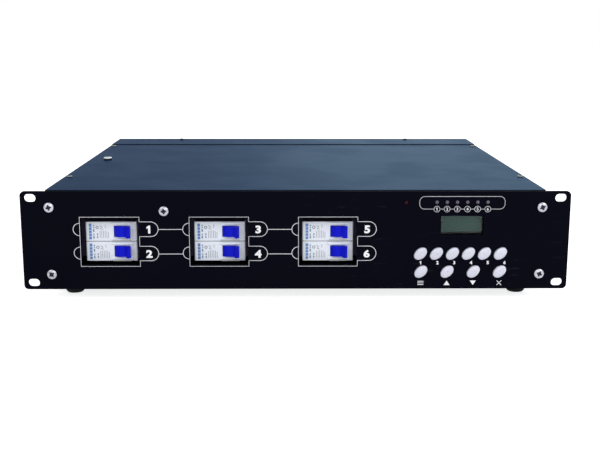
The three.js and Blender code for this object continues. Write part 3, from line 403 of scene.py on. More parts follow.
def drawn(curve, outlines):
    """Adds lines through points to a curve. An outline is (points, closed)."""
    for points, closed in outlines:
        spline = curve.splines.new("POLY")
        spline.points.add(len(points) - 1)
        for point, (x, y) in zip(spline.points, points):
            point.co = (x, y, 0, 1)
        spline.use_cyclic_u = closed


def slab(outlines, depth, edge=0.0, turn=to_top, place=(0, 0, 0)):
    """A plate with an outline and holes, its edges eased, lying between 0 and its depth along Z."""
    curve = bpy.data.curves.new("outline", "CURVE")
    curve.dimensions = "2D"
    curve.fill_mode = "BOTH"
    curve.extrude = depth / 2 - edge
    curve.bevel_depth = edge
    curve.bevel_resolution = 1
    curve.offset = -edge
    drawn(curve, [(outline, True) for outline in outlines])
    bm = shape_from(curve)
    bmesh.ops.recalc_face_normals(bm, faces=bm.faces)
    bm.transform(at(*place) @ turn @ at(0, 0, depth / 2))
    return bm


def turned(profile, steps, turn=to_top, place=(0, 0, 0), closed=False):
    """A profile of radius and height, spun round its Z axis."""
    bm = bmesh.new()
    verts = [bm.verts.new((radius, 0, height)) for radius, height in profile]
    edges = [bm.edges.new(pair) for pair in zip(verts, verts[1:])]
    if closed:
        edges.append(bm.edges.new((verts[-1], verts[0])))
    bmesh.ops.spin(bm, geom=verts + edges, cent=(0, 0, 0), axis=(0, 0, 1),
                   angle=2 * math.pi, steps=steps, use_merge=True)
    bmesh.ops.remove_doubles(bm, verts=bm.verts, dist=doubles_apart)
    bmesh.ops.recalc_face_normals(bm, faces=bm.faces)
    bm.transform(at(*place) @ turn)
    return bm


def rod(radius, start, end, steps, turn=to_top, place=(0, 0, 0)):
    return turned([(0, start), (radius, start), (radius, end), (0, end)], steps, turn, place)


def tube(inner, outer, start, end, steps, turn=to_top, place=(0, 0, 0)):
    profile = [(inner, start), (outer, start), (outer, end), (inner, end)]
    return turned(profile, steps, turn, place, closed=True)


def peg(radius, end_radius, start, neck, end, steps, place=(0, 0, 0)):
    """A rod that goes to another radius between its neck and its end."""
    profile = [(0, start), (radius, start), (radius, neck), (end_radius, end), (0, end)]
    return turned(profile, steps, to_top, place)


def block(low, high, edge=0.0, segments=2):
    """A box between two corners, with its edges eased."""
    bm = bmesh.new()
    size = Vector(high) - Vector(low)
    centre = (Vector(high) + Vector(low)) / 2
    bmesh.ops.create_cube(bm, size=1.0, matrix=Matrix.Translation(centre) @ Matrix.Diagonal((*size, 1)))
    if edge:
        bmesh.ops.bevel(bm, geom=bm.edges[:], offset=edge, segments=segments, profile=0.5,
                        affect="EDGES", material=-1)
    return bm


def joined(*shapes):
    """Several shapes as one mesh."""
    whole = shapes[0]
    for shape in shapes[1:]:
        mesh = bpy.data.meshes.new("part")
        shape.to_mesh(mesh)
        shape.free()
        whole.from_mesh(mesh)
        bpy.data.meshes.remove(mesh)
    return whole


def moved(shape, matrix):
    """A copy of a shape in another place."""
    copy = shape.copy()
    copy.transform(matrix)
    return copy


def in_scene(name, data):
    made = bpy.data.objects.new(name, data)
    scene.collection.objects.link(made)
    return made


def object_of(bm, name):
    mesh = bpy.data.meshes.new(name)
    bm.to_mesh(mesh)
    bm.free()
    return in_scene(name, mesh)


def carved(bm, tool, operation="DIFFERENCE"):
    """A shape with another cut from it, or kept only where both are."""
    body = object_of(bm, "body")
    cutter = object_of(tool, "cutter")
    boolean = body.modifiers.new("cut", "BOOLEAN")
    boolean.object = cutter
    boolean.operation = operation
    boolean.solver = "EXACT"
    depsgraph = bpy.context.evaluated_depsgraph_get()
    mesh = bpy.data.meshes.new_from_object(body.evaluated_get(depsgraph))
    result = bmesh.new()
    result.from_mesh(mesh)
    bpy.data.objects.remove(body)
    bpy.data.objects.remove(cutter)
    bpy.data.meshes.remove(mesh)
    bmesh.ops.remove_doubles(result, verts=result.verts, dist=doubles_apart)
    return result


def eased(node, edge):
    """A copy of a CAD piece with its doubles merged, its flats made whole and its sharp edges eased."""
    sharp, flat, doubles = 35.0, 1.0, 1e-6
    bm = bmesh.new()
    bm.from_mesh(frame["nodes"][node].data)
    bmesh.ops.remove_doubles(bm, verts=bm.verts, dist=doubles)
    bmesh.ops.dissolve_limit(bm, angle_limit=math.radians(flat), verts=bm.verts, edges=bm.edges)
    corners = [e for e in bm.edges if e.is_manifold and e.calc_face_angle() > math.radians(sharp)]
    bmesh.ops.bevel(bm, geom=corners, offset=edge, segments=2, profile=0.5, affect="EDGES",
                    material=-1, clamp_overlap=True)
    return bm


def piece(name, bm, finish, beside, stand=to_top, replaces=(), smooth=40.0, painted_shade_finish=None):
    """A finished piece, put on its stand, that rides with the CAD node that it stands for or sits on."""
    bm.transform(stand)
    made = object_of(bm, name)
    made.data.materials.append(finish)
    if painted_shade_finish:
        made.data.materials.append(painted_shade_finish)
    made.data.shade_smooth()
    made.data.set_sharp_from_angle(angle=math.radians(smooth))
    weighted = made.modifiers.new("flat faces", "WEIGHTED_NORMAL")
    weighted.keep_sharp = True
    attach(made, body_of[beside])
    if replaces:
        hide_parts(*replaces)


def stand_in(name, bm, finish, node, stand=to_top, smooth=40.0, painted_shade_finish=None):
    """A finished piece that is seen in place of a CAD node."""
    piece(name, bm, finish, node, stand, (node,), smooth, painted_shade_finish)


def refinish(finish, *nodes):
    """Gives CAD nodes a better material."""
    for node in nodes:
        frame["nodes"][node].data.materials.clear()
        frame["nodes"][node].data.materials.append(finish)


# Screws


def cross_head_screw(head, height, shank, length, recess):
    """A pan head with a cross recess, its underside at 0. The recess faces take the second material, a
    painted shade.
    """
    rim = height * 0.45
    point = shank * 0.4
    crown = oval_arc(0, rim, head, height - rim, 0, 90, 7)[:-1]
    screw = turned([(0, -length), (shank * 0.8, -length), (shank, point - length), (shank, 0),
                    (head * 0.97, 0), (head, rim * 0.3), *crown, (0, height)], 36)
    arm, width, depth = recess / 2, recess * 0.26, height * 0.75
    for turn in (0, 90):
        bar = block((-arm, -width / 2, height - depth), (arm, width / 2, height * 2), width * 0.3, 1)
        bar.transform(turn_by(turn))
        screw = carved(screw, bar)
    over = height + 0.0001
    cone = turned([(0, height - depth), (width * 0.7, height - depth * 0.7), (arm * 0.78, over),
                   (0, over)], 28)
    screw = carved(screw, cone)
    # Faces deep in the cross recess get material index 1, the painted shade
    sunk = 0.00008
    for face in screw.faces:
        centre = face.calc_center_median()
        radius = math.hypot(centre.x, centre.y)
        if radius < arm * 1.02:
            outside = rim + (height - rim) * math.sqrt(1 - (radius / head) ** 2)
            if 0 < centre.z < outside - sunk:
                face.material_index = 1
    return screw


# How far each screw of the front plate was turned home, in degrees
plate_screw_turns = {"upper_left": 12, "lower_left": 40, "upper_right": 25, "lower_right": 68, "middle": 5}


def plate_screws():
    """The five screws of the front plate."""
    shape = cross_head_screw(head=0.0044, height=0.0026, shank=0.002, length=0.01, recess=0.0052)
    for name, turn in plate_screw_turns.items():
        node = "panel_screw_" + name
        centre = middle(node)
        screw = moved(shape, at(centre.x, plate_front - touching_gap, centre.z) @ to_front @ turn_by(turn))
        stand_in("plate_screw_" + name, screw, bare_zinc, node, painted_shade_finish=recess_painted_shade)
    shape.free()


def earth_screw():
    """The large screw on the cover, on a black washer that is partly a real lock washer and partly painted
    shadow of the screw.
    """
    centre = middle("earth_screw")
    air, washer_thickness = 0.0001, 0.001
    screw = cross_head_screw(head=0.0043, height=0.0021, shank=0.0022, length=0.009, recess=0.0034)
    screw.transform(at(centre.x, centre.y, case_top + washer_thickness + 2 * air))
    stand_in("earth_bonding_screw", screw, bright_nickel, "earth_screw", painted_shade_finish=recess_painted_shade)
    # The washer's black is partly its own colour and partly painted shadow in front of the screw
    washer_and_shadow = tube(0.0026, 0.0045, air, air + washer_thickness, 36, to_top, (centre.x, centre.y, case_top))
    piece("earth_washer_and_shadow", washer_and_shadow, black_zinc, "earth_screw")


def cover_screws():
    """Small screws along the cover's sides, the rear strip, the rear wall and the floor's front edge."""
    side_inset, side_depths = 0.005, (0.0885, 0.3325)
    side_x = case_side - side_inset
    strip_x, strip_depth = 0.142, 0.395
    wall_x, wall_inset = 0.2165, 0.012
    wall_zs = (case_bottom + wall_inset, strip_top - wall_inset)
    floor_xs, floor_depth = (-0.0603, 0.061), 0.01
    rows = [
        ("cover_side_screws", dull_zinc, "top_cover", to_top,
         [(x, plate_front + depth, case_top) for x in (-side_x, side_x) for depth in side_depths]),
        ("rear_strip_screws", black_zinc, "rear_panel", to_top,
         [(x, plate_front + strip_depth, strip_top) for x in (-strip_x, strip_x)]),
        ("rear_wall_screws", black_zinc, "rear_panel", to_rear,
         [(x, case_back, z) for x in (-wall_x, wall_x) for z in wall_zs]),
        ("floor_front_screws", black_zinc, "chassis_tray", to_ground,
         [(x, plate_front + floor_depth, case_bottom) for x in floor_xs]),
    ]
    small = cross_head_screw(head=0.0028, height=0.0016, shank=0.0015, length=0.005, recess=0.0032)
    for name, finish, node, turn, places in rows:
        screws = [moved(small, at(*place) @ turn) for place in places]
        piece(name, joined(*screws), finish, node, painted_shade_finish=recess_painted_shade)
    small.free()


# Front plate

plate_corner, plate_edge = 0.004, 0.00025
slot_spacing = (0.4651, 0.0762)
slot_size = (0.0103, 0.0071)
screw_hole_radius = 0.0023
group_places = [middle("breaker_%d" % number).x for number in (1, 3, 5)]
window_half, window_rise, window_drop, window_corner = 0.02525, 0.01975, -0.02175, 0.0006
menu_names = ["menu_button", "up_button", "down_button", "escape_button"]
button_names = ["channel_button_%d" % number for number in range(1, 7)] + menu_names
button_long, button_short, button_lean = 0.0065, 0.0045, 42.0
display_centre = middle("display_window")
display_half_width, display_half_height, display_corner = 0.0188, 0.0084, 0.0005
lamp_radius = 0.0015
power_lamp = middle("power_led")
lamp_rise = middle("channel_led_bar").z - plate_middle
lamp_first, lamp_pitch, lamp_count = 0.1235, 0.00895, 6
lamp_xs = [lamp_first + i * lamp_pitch for i in range(lamp_count)]


def on_plate(node):
    """A node's place, measured from the plate's middle."""
    centre = middle(node)
    return centre.x, centre.z - plate_middle


def plate_outlines():
    """The plate's edge and every opening, measured from the plate's middle."""
    outlines = [rounded_about(0, 0, plate_high.x, plate_high.z - plate_middle, plate_corner, 8)]
    outlines += [obround(sx * slot_spacing[0] / 2, sz * slot_spacing[1] / 2, *slot_size)
                 for sx in (-1, 1) for sz in (-1, 1)]
    outlines += [rounded(x - window_half, x + window_half, window_drop, window_rise, window_corner, 3)
                 for x in group_places]
    outlines.append(rounded_about(*on_plate("display_window"), display_half_width, display_half_height,
                                  display_corner, 3))
    long, short = button_long + running_gap, button_short + running_gap
    outlines += [leaning_oval(*on_plate(name), long, short, button_lean) for name in button_names]
    lamp_places = [on_plate("power_led")] + [(x, lamp_rise) for x in lamp_xs]
    outlines += [circle(x, z, lamp_radius + running_gap, 20) for x, z in lamp_places]
    outlines += [circle(*on_plate("panel_screw_" + name), screw_hole_radius, 20)
                 for name in plate_screw_turns]
    return outlines


def front_plate():
    """The plate, with four studs behind it that carry the control board."""
    plate = slab(plate_outlines(), plate_thickness, plate_edge, to_front, (0, plate_back, plate_middle))
    low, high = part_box("control_board")
    inset, radius = 0.004, 0.0025
    studs = [rod(radius, 0, plate_high.y - plate_back, 20, to_rear, (x, plate_back, z))
             for x in (low.x + inset, high.x - inset) for z in (low.z + inset, high.z - inset)]
    stand_in("front_plate", joined(plate, *studs), panel_black, "front_panel")


# Printing on the front plate

ink = 0.00005
line_half, fine_line_half, sign_line_half, rule_half = 0.00027, 0.00018, 0.00026, 0.00023


def inked_lines(paths, half=line_half):
    """Printed lines through points of the plate, as flat ribbons of ink. A path is (points, closed)."""
    curve = bpy.data.curves.new("lines", "CURVE")
    curve.dimensions = "3D"
    curve.bevel_depth = half
    curve.bevel_resolution = 1
    curve.use_fill_caps = True
    drawn(curve, paths)
    bm = shape_from(curve)
    bmesh.ops.recalc_face_normals(bm, faces=bm.faces)
    bm.transform(Matrix.Diagonal((1, 1, ink / half, 1)))
    return bm


def digit(text, x, z, height, weight, widen):
    """A heavy printed digit, centred on a place of the plate. A one gets a plain stem with a flag."""
    if text == "1":
        stem_shares = [(-0.1, -0.5), (0.17, -0.5), (0.17, 0.5), (-0.03, 0.5), (-0.3, 0.3), (-0.3, 0.08),
                       (-0.1, 0.19)]
        return slab([[(x + u * height, z + v * height) for u, v in stem_shares]], ink)
    letters = bpy.data.curves.new("digit", "FONT")
    letters.body = text
    letters.size = 1.0
    letters.offset = weight
    letters.extrude = 0.01
    letters.resolution_u = 3
    bm = shape_from(letters)
    slivers = 1e-5
    bmesh.ops.dissolve_degenerate(bm, dist=slivers, edges=bm.edges)
    bmesh.ops.recalc_face_normals(bm, faces=bm.faces)
    lows = Vector([min(v.co[i] for v in bm.verts) for i in range(3)])
    highs = Vector([max(v.co[i] for v in bm.verts) for i in range(3)])
    size = height / (highs.y - lows.y)
    scale = Matrix.Diagonal((size * widen, size, ink / (highs.z - lows.z), 1))
    bm.transform(at(x, z, 0) @ scale @ Matrix.Translation(-(lows + highs) / 2))
    return bm


def printed(name, shapes, finish, beside="front_panel", depth=plate_front):
    """Ink on a face that looks to the front."""
    piece(name, joined(*shapes), finish, beside, at(0, depth, plate_middle) @ to_front)


outline_half, outline_rise, outline_drop = 0.0261, 0.0212, -0.0232
tab_reach, tabs = 0.0165, [(0.017, 0.00375), (-0.005, -0.01805)]
bulge_reach, bulges = 0.0058, [(0.0158, 0.0046), (-0.0056, -0.0166)]
link_rises = [0.01015, -0.012]
number_places, number_height = [(0.0345, 0.0101), (0.0343, -0.0119)], 0.0071


def group_outline(x):
    """Outline round a window, with its two rounded tabs on the right."""
    left, right = x - outline_half, x + outline_half
    points = [(left, outline_rise), (right, outline_rise)]
    for top, bottom in tabs:
        radius = (top - bottom) / 2
        points += [(right, top), *arc(right + tab_reach - radius, (top + bottom) / 2, radius, 90, -90, 12),
                   (right, bottom)]
    return points + [(right, outline_drop), (left, outline_drop)]


def left_bulge(x, top, bottom):
    """Rounded bulge on the left of an outline."""
    return oval_arc(x - outline_half, (top + bottom) / 2, -bulge_reach, (top - bottom) / 2, 90, -90, 12)


def group_printing():
    """Outline, links and numbers of the three breaker groups."""
    paths = []
    for index, x in enumerate(group_places):
        paths.append((group_outline(x), True))
        paths += [(left_bulge(x, *bulge), False) for bulge in bulges]
        if index + 1 < len(group_places):
            start = x + outline_half + tab_reach
            end = group_places[index + 1] - outline_half - bulge_reach
            paths += [([(start, rise), (end, rise)], False) for rise in link_rises]
    printed("group_outlines", [inked_lines(paths)], white_ink)
    numbers = [digit(str(2 * i + j + 1), x + aside, rise, number_height, weight=0.045, widen=1.2)
               for i, x in enumerate(group_places) for j, (aside, rise) in enumerate(number_places)]
    printed("breaker_numbers", numbers, bright_ink)


def lamp_printing():
    """Frame round the channel lamps, broken by a numbered ring under each lamp."""
    left, right, bottom, top = 0.1082, 0.1833, 0.0282, 0.0394
    corner, ring, number = 0.0045, 0.0026, 0.0028
    sweep = [(lamp_xs[0] - ring, bottom)]
    sweep += arc(left + corner, bottom + corner, corner, 270, 180, 6)
    sweep += arc(left + corner, top - corner, corner, 180, 90, 6)
    sweep += arc(right - corner, top - corner, corner, 90, 0, 6)
    sweep += arc(right - corner, bottom + corner, corner, 0, -90, 6)
    sweep.append((lamp_xs[-1] + ring, bottom))
    paths = [(sweep, False)]
    paths += [([(a + ring, bottom), (b - ring, bottom)], False) for a, b in zip(lamp_xs, lamp_xs[1:])]
    paths += [(circle(x, bottom, ring, 24), True) for x in lamp_xs]
    printed("lamp_frame_lines", [inked_lines(paths, fine_line_half)], white_ink)
    numbers = [digit(str(i + 1), x, bottom, number, weight=0.03, widen=1.0) for i, x in enumerate(lamp_xs)]
    printed("lamp_numbers", numbers, white_ink)


def button_printing():
    """A number under each channel button, and a plain sign under each menu button."""
    first, pitch, drop, number = 0.1104, 0.01494, -0.0202, 0.0031
    numbers = [digit(str(i + 1), first + i * pitch, drop, number, weight=0.045, widen=1.1) for i in range(6)]
    printed("channel_button_numbers", numbers, bright_ink)
    sign_z, half_width, half_height = -0.0387, 0.0027, 0.0021
    bar_half, bar_spacing, stroke_half = 0.000275, 0.0015, 0.0029
    menu_x, up_x, down_x, escape_x = [middle(name).x for name in menu_names]

    def stroke(x, z, half):
        return slab([rounded_about(x, z, half, bar_half, bar_half * 0.6, 2)], ink)

    def arrow(x, way):
        base, point = sign_z - way * half_height, sign_z + way * half_height
        return slab([[(x - half_width, base), (x + half_width, base), (x, point)]], ink)

    signs = [stroke(menu_x, sign_z + i * bar_spacing, half_width) for i in (-1, 0, 1)]
    signs += [arrow(up_x, 1), arrow(down_x, -1)]
    for turn in (45, -45):
        cross = stroke(0, 0, stroke_half)
        cross.transform(at(escape_x, sign_z, 0) @ turn_by(turn))
        signs.append(cross)
    printed("menu_signs", signs, bright_ink)


# Breakers

nose_half, nose_depth = 0.02275, 0.012
breaker_half_width = 0.0088
toggle_aside, pivot_depth, toggle_tilt = 0.0089, 0.0035, 42
guard_height = 0.0011


def breaker_case(node, number):
    """The white nose of a breaker, and its body behind the shoulders, coloured dark grey as painted shade."""
    case = eased(node, 0.00045)
    # Faces behind the nose get the second material, painted shade over the white body
    nose_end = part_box(node)[0].y + nose_depth
    for face in case.faces:
        if face.calc_center_median().y > nose_end:
            face.material_index = 1
    stand_in("breaker_case_" + number, case, breaker_plastic, node, painted_shade_finish=painted_body_shade)


def toggle_guards(node, number):
    """Low cheeks above and below the toggle."""
    x, z = middle(node).x, middle(node).z
    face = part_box(node)[0].y
    left, right, inner, outer, sunk, edge = 0.0002, 0.0192, 0.0062, 0.008, 0.0004, 0.0004
    cheeks = [block((x + left, face - guard_height, z + low), (x + right, face + sunk, z + high), edge)
              for low, high in ((-outer, -inner), (inner, outer))]
    piece("toggle_guard_" + number, joined(*cheeks), breaker_plastic, node)


def breaker_label(node, number):
    """Plain printed bars, rules and signs on the left of a breaker's face, and a grey strip of painted shadow
    below its toggle.
    """
    x, z = on_plate(node)
    left = x - nose_half
    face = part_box(node)[0].y
    margin, bar_corner = 0.0016, 0.0001
    half = breaker_half_width - margin

    def bars(place, width, span_shares):
        return [slab([rounded(left + place - width / 2, left + place + width / 2,
                              z + low * half, z + high * half, bar_corner, 1)], ink)
                for low, high in span_shares]

    blue = bars(0.0043, 0.0024, [(-1.0, -0.66), (-0.6, -0.26), (-0.2, 0.12), (0.18, 0.52), (0.58, 0.98)])
    printed("breaker_bars_" + number, blue, blue_ink, node, face)
    slate = bars(0.0073, 0.0011, [(-0.9, -0.55), (-0.45, -0.3), (-0.05, 0.3), (0.42, 0.55), (0.65, 0.82)])
    slate += bars(0.0105, 0.001, [(-0.85, -0.6), (-0.5, -0.25)])
    printed("breaker_blocks_" + number, slate, slate_ink, node, face)
    ring_place, ring_rise, ring_radius = 0.0104, 0.0036, 0.0011
    zigzag = [(0.0128, 0.0052), (0.015, 0.004), (0.013, 0.0026), (0.0154, 0.0018)]
    signs = [(circle(left + ring_place, z + ring_rise, ring_radius, 16), True),
             ([(left + place, z + rise) for place, rise in zigzag], False)]
    printed("breaker_signs_" + number, [inked_lines(signs, sign_line_half)], dark_ink, node, face)
    column_places = [0.0128, 0.0143, 0.0158, 0.0173, 0.0188, 0.0203, 0.0176]
    column_shares = [(-0.85, 0.05), *[(-0.85, 0.1)] * 3, (-0.85, 0.05), (-0.85, -0.1), (0.45, 0.85)]
    rules = [([(left + place, z + low * half), (left + place, z + high * half)], False)
             for place, (low, high) in zip(column_places, column_shares)]
    printed("breaker_rules_" + number, [inked_lines(rules, rule_half)], grey_ink, node, face)
    # A grey strip of painted shadow just below the toggle, printed on the front of the lower guard
    near, far, bottom, top, corner = 0.001, 0.0178, -0.0087, -0.0071, 0.0006
    shadow_strip = slab([rounded(x + near, x + far, z + bottom, z + top, corner, 3)], ink)
    printed("toggle_painted_shadow_" + number, [shadow_strip], shadow_grey, node, face - guard_height)


def toggle(node, number):
    """A blue toggle: a drum on two pins, and a wider paddle with ribs and eased edges."""
    drum, root, tip, reach, edge = 0.007, 0.0018, 0.0015, 0.012, 0.0004
    drum_half, paddle_half, pin_half, pin_radius = 0.0047, 0.0053, 0.0061, 0.0014
    root_angle = math.degrees(math.asin(root / drum))
    drum_side = arc(0, 0, drum, -90 + root_angle, 270 - root_angle, 40)
    drum_side += arc(0, tip - reach, tip * 0.8, 180, 360, 8)
    body = slab([drum_side], 2 * drum_half, edge, to_top, (0, 0, -drum_half))
    shoulder = -drum - 2 * running_gap
    rib, rib_pitch, rib_start = 0.00025, 0.0009, shoulder - 0.0003
    ribs = [(rib * (i % 2) - tip, rib_start - i * rib_pitch / 2) for i in range(7)]
    mirrored = [(-x, y) for x, y in reversed(ribs)]
    paddle_side = [(-tip, shoulder), *ribs[1:], *arc(0, tip - reach, tip, 180, 360, 10), *mirrored[:-1],
                   (tip, shoulder)]
    paddle = slab([paddle_side], 2 * paddle_half, edge, to_top, (0, 0, -paddle_half))
    whole = joined(body, paddle, rod(pin_radius, -pin_half, pin_half, 20))
    pivot = at(middle(node).x + toggle_aside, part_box(node)[0].y + pivot_depth, middle(node).z)
    stand_in("toggle_" + number, whole, toggle_blue, "breaker_lever_" + number, pivot @ turn_by(toggle_tilt))


# Buttons, lamps and display


def button(name):
    """An oval cap with a soft crown and a small dimple, its rim and stem behind the plate."""
    low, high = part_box(name)
    centre = middle(name)
    proud = plate_front - low.y
    shoulder = proud * 0.45
    dimple, dimple_depth = 0.001, 0.0005
    rim_thickness, rim_reach, stem_radius, overlap = 0.0012, 0.0008, 0.0022, 0.0001
    rim_front = -plate_thickness - touching_gap
    rim_back, back = rim_front - rim_thickness, rim_front - 2 * overlap
    crown = oval_arc(0, shoulder, button_long, proud - shoulder, 0, 90, 9)[:-1]
    cap = turned([(0, back), (button_long, back), *crown, (dimple, proud),
                  (dimple / 2, proud - dimple_depth * 0.8), (0, proud - dimple_depth)], 56)
    rim_long, rim_short = button_long + rim_reach, button_short + rim_reach
    rim = rod(rim_long, rim_back, rim_front, 48)
    for oval, share in ((cap, button_short / button_long), (rim, rim_short / rim_long)):
        oval.transform(Matrix.Diagonal((1, share, 1, 1)))
    whole = joined(cap, rim, rod(stem_radius, plate_front - high.y, rim_back + overlap, 20))
    stand = at(centre.x, plate_front, centre.z) @ to_front @ turn_by(button_lean)
    stand_in(name.replace("button", "key"), whole, button_silver, name, stand, smooth=50.0)


def lens(x, z):
    """A domed lamp lens through the plate."""
    proud, end = 0.0008, -0.0048
    dome = oval_arc(0, 0, lamp_radius, proud, 0, 90, 6)[:-1]
    return turned([(0, end), (lamp_radius, end), *dome, (0, proud)], 24, to_front, (x, plate_front, z))


def lamps():
    """The power lamp in its sleeve, and the channel lamps in their holder."""
    x, z = power_lamp.x, power_lamp.z
    stand_in("power_lamp", lens(x, z), lamp_red, "power_led")
    inner, outer, start = 0.0016, 0.0024, plate_back + touching_gap
    sleeve = tube(inner, outer, 0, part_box("power_led")[1].y - start, 24, to_rear, (x, start, z))
    piece("power_lamp_sleeve", sleeve, lamp_sleeve, "power_led")
    row = [lens(x, plate_middle + lamp_rise) for x in lamp_xs]
    stand_in("channel_lamps", joined(*row), lamp_clear, "channel_led_bar")
    low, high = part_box("channel_led_bar")
    holder_gap, edge = 0.0004, 0.0005
    holder = block((low.x, plate_back + holder_gap, low.z), high, edge)
    piece("channel_lamp_holder", holder, lamp_sleeve, "channel_led_bar")


def display():
    """The acrylic pane, and the film in the module's frame behind it."""
    stand_in("display_pane", eased("display_window", 0.0002), clear_acrylic, "display_window")
    refinish(dark_bezel, "display_module")
    frame_depth, front, back, edge = 0.001, 0.0006, 0.0001, 0.0001
    overlap, dark_right, dark_bottom = 0.0011, 0.0015, 0.0012
    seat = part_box("display_module")[0].y + frame_depth
    x, z = display_centre.x, display_centre.z
    film = block(
        (x - display_half_width - overlap, seat - front, z - display_half_height + dark_bottom),
        (x + display_half_width - dark_right, seat - back, z + display_half_height + overlap), edge)
    piece("display_film", film, display_film, "display_module")


# Case


def case_sheets():
    for name, node, edge in (("cover_sheet", "top_cover", 0.0003), ("rear_sheet", "rear_panel", 0.0002),
                             ("tray_sheet", "chassis_tray", 0.0002)):
        stand_in(name, eased(node, edge), case_paint, node)


def feet():
    """Rubber feet with a chamfered sole and a screw sunk in the middle."""
    well, well_depth, sole, radius = 0.0036, 0.005, 0.0069, 0.0084
    edge, soft, chamfer = 0.0003, 0.0002, 0.0016
    screw = cross_head_screw(head=0.003, height=0.0015, shank=0.0015, length=0.002, recess=0.0034)
    for name in ("foot_front_left", "foot_front_right", "foot_rear_left", "foot_rear_right"):
        centre = middle(name)
        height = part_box(name)[1].z
        shape = turned([(0, well_depth), (well, well_depth), (well, edge), (well + edge, 0), (sole, 0),
                        (sole + soft, soft), (radius - soft / 2, chamfer), (radius, chamfer + 2 * soft),
                        (radius, height - edge), (radius - edge, height), (0, height)], 48)
        stand_in("rubber_" + name, shape, foot_rubber, name, at(centre.x, centre.y, 0))
        piece(name + "_screw", screw.copy(), bare_zinc, name,
              at(centre.x, centre.y, well_depth - touching_gap) @ to_ground, painted_shade_finish=recess_painted_shade)
    screw.free()


# Rear, with heights measured outwards from the rear wall


def outlet(node, number):
    """A mains outlet: square bezel, round well with its guide ribs, and brass contacts."""
    half, corner, bezel, bezel_edge = 0.025, 0.004, 0.0033, 0.0006
    barrel, barrel_depth, well, well_depth = 0.0215, 0.031, 0.0195, 0.0175
    lip, mouth_edge, well_corner, fit = 0.0005, 0.0006, 0.0008, 0.0001
    floor = bezel - well_depth
    rim = bezel - touching_gap
    face = slab([rounded_about(0, 0, half, half, corner, 6), circle(0, 0, barrel + fit, 56)],
                rim, bezel_edge, to_top, (0, 0, touching_gap))
    cup = turned([(0, -barrel_depth), (barrel, -barrel_depth), (barrel, rim - lip), (barrel - lip, rim),
                  (well + lip, rim), (well, rim - mouth_edge), (well, floor + well_corner),
                  (well - well_corner, floor), (0, floor)], 56)
    aside, hole, hole_mouth, over = 0.0095, 0.0026, 0.0031, 0.001
    hole_start, neck = floor - 0.011, floor - 0.0004
    inner, outer, start, end = 0.0019, 0.0025, floor - 0.0108, floor - 0.0012
    contacts = []
    for place in ((-aside, 0, 0), (aside, 0, 0)):
        cup = carved(cup, peg(hole, hole_mouth, hole_start, neck, floor + over, 24, place))
        contacts.append(tube(inner, outer, start, end, 20, to_top, place))
    rib_inner, rib_outer, rib_half, rib_edge = 0.0179, 0.02, 0.0025, 0.0003
    rib_start, rib_end = floor - 0.0005, bezel - 0.003
    ribs = [block((low, -rib_half, rib_start), (high, rib_half, rib_end), rib_edge)
            for low, high in ((-rib_outer, -rib_inner), (rib_inner, rib_outer))]

    clip_half, clip_edge, spring, reach, splay = 0.003, 0.0001, 0.0007, 0.0034, 0.0012
    inner = well - reach
    outer = inner + spring
    foot, knee = floor - 0.001, floor + 0.004
    bend = [(foot, inner + splay), (knee, inner), (bezel - 0.0045, inner), (bezel - 0.0022, well - 0.0008),
            (bezel - 0.0027, well - 0.0004), (bezel - 0.0048, outer), (knee, outer), (foot, outer + splay)]
    clip = slab([bend], 2 * clip_half, clip_edge, to_top, (0, 0, -clip_half))
    clip.transform(turn_by(-90, "Y"))
    stand = at(middle(node).x, case_back, plate_middle) @ to_rear
    stand_in("outlet_" + number, joined(face, cup, *ribs), outlet_black, node, stand)
    piece("outlet_contacts_" + number, joined(*contacts), brass, node, stand)
    piece("outlet_earth_clips_" + number, joined(moved(clip, turn_by(180)), clip), satin_nickel, node, stand)


socket_mouth, socket_depth, socket_bezel, pin_circle = 0.0093, 0.014, 0.0023, 0.004
socket_floor = socket_bezel - socket_depth
pin_places = [(-pin_circle * math.sin(math.radians(turn)), pin_circle * math.cos(math.radians(turn)), 0)
              for turn in (-60, 60, 180)]


def signal_shell(node, label, stand, screw):
    """Flange and barrel of a signal socket, with its two screws. The output has a way for its latch."""
    half_width, half_height, corner, thickness, edge, hole = 0.013, 0.0155, 0.0025, 0.002, 0.0004, 0.0102
    flange = slab([rounded_about(0, 0, half_width, half_height, corner, 6), circle(0, 0, hole, 48)],
                  thickness, edge, to_top, (0, 0, touching_gap))
    collar, body, body_front, body_back, lip = 0.0101, 0.0116, -0.0002, -0.0235, 0.0004
    barrel = turned([(0, socket_floor), (socket_mouth, socket_floor), (socket_mouth, socket_bezel - lip),
                     (socket_mouth + lip, socket_bezel), (collar, socket_bezel), (collar, body_front),
                     (body, body_front), (body, body_back), (0, body_back)], 48)
    if label == "output":
        way_half, way_low, way_high, way_depth, over = 0.0043, 0.0098, 0.0131, 0.0138, 0.001
        barrel = carved(barrel, block((-way_half, way_low, socket_bezel - way_depth),
                                      (way_half, way_high, socket_bezel + over)))
        flange = carved(flange, block((-way_half, way_low, -over), (way_half, way_high, 2 * thickness)))
    screw_x, screw_z, seat = 0.0095, 0.012, 0.0022
    heads = [moved(screw, stand @ at(x, z, seat)) for x, z in ((-screw_x, screw_z), (screw_x, -screw_z))]
    stand_in("signal_%s_shell" % label, joined(flange, barrel), satin_nickel, node, stand)
    piece("signal_%s_screws" % label, joined(*heads), black_zinc, node, painted_shade_finish=recess_painted_shade)


def input_pins(node, stand):
    """Three pins that stand on an insert at the bottom of the input."""
    pin, pin_end, recessed, taper, thickness = 0.0012, 0.0008, 0.0002, 0.0006, 0.0012
    pins = [peg(pin, pin_end, socket_floor, -recessed - taper, -recessed, 20, place) for place in pin_places]
    insert = rod(socket_mouth, socket_floor, socket_floor + thickness, 40)
    piece("signal_input_pins", joined(*pins), gold_plate, node, stand)
    piece("signal_input_insert", insert, outlet_black, node, stand)


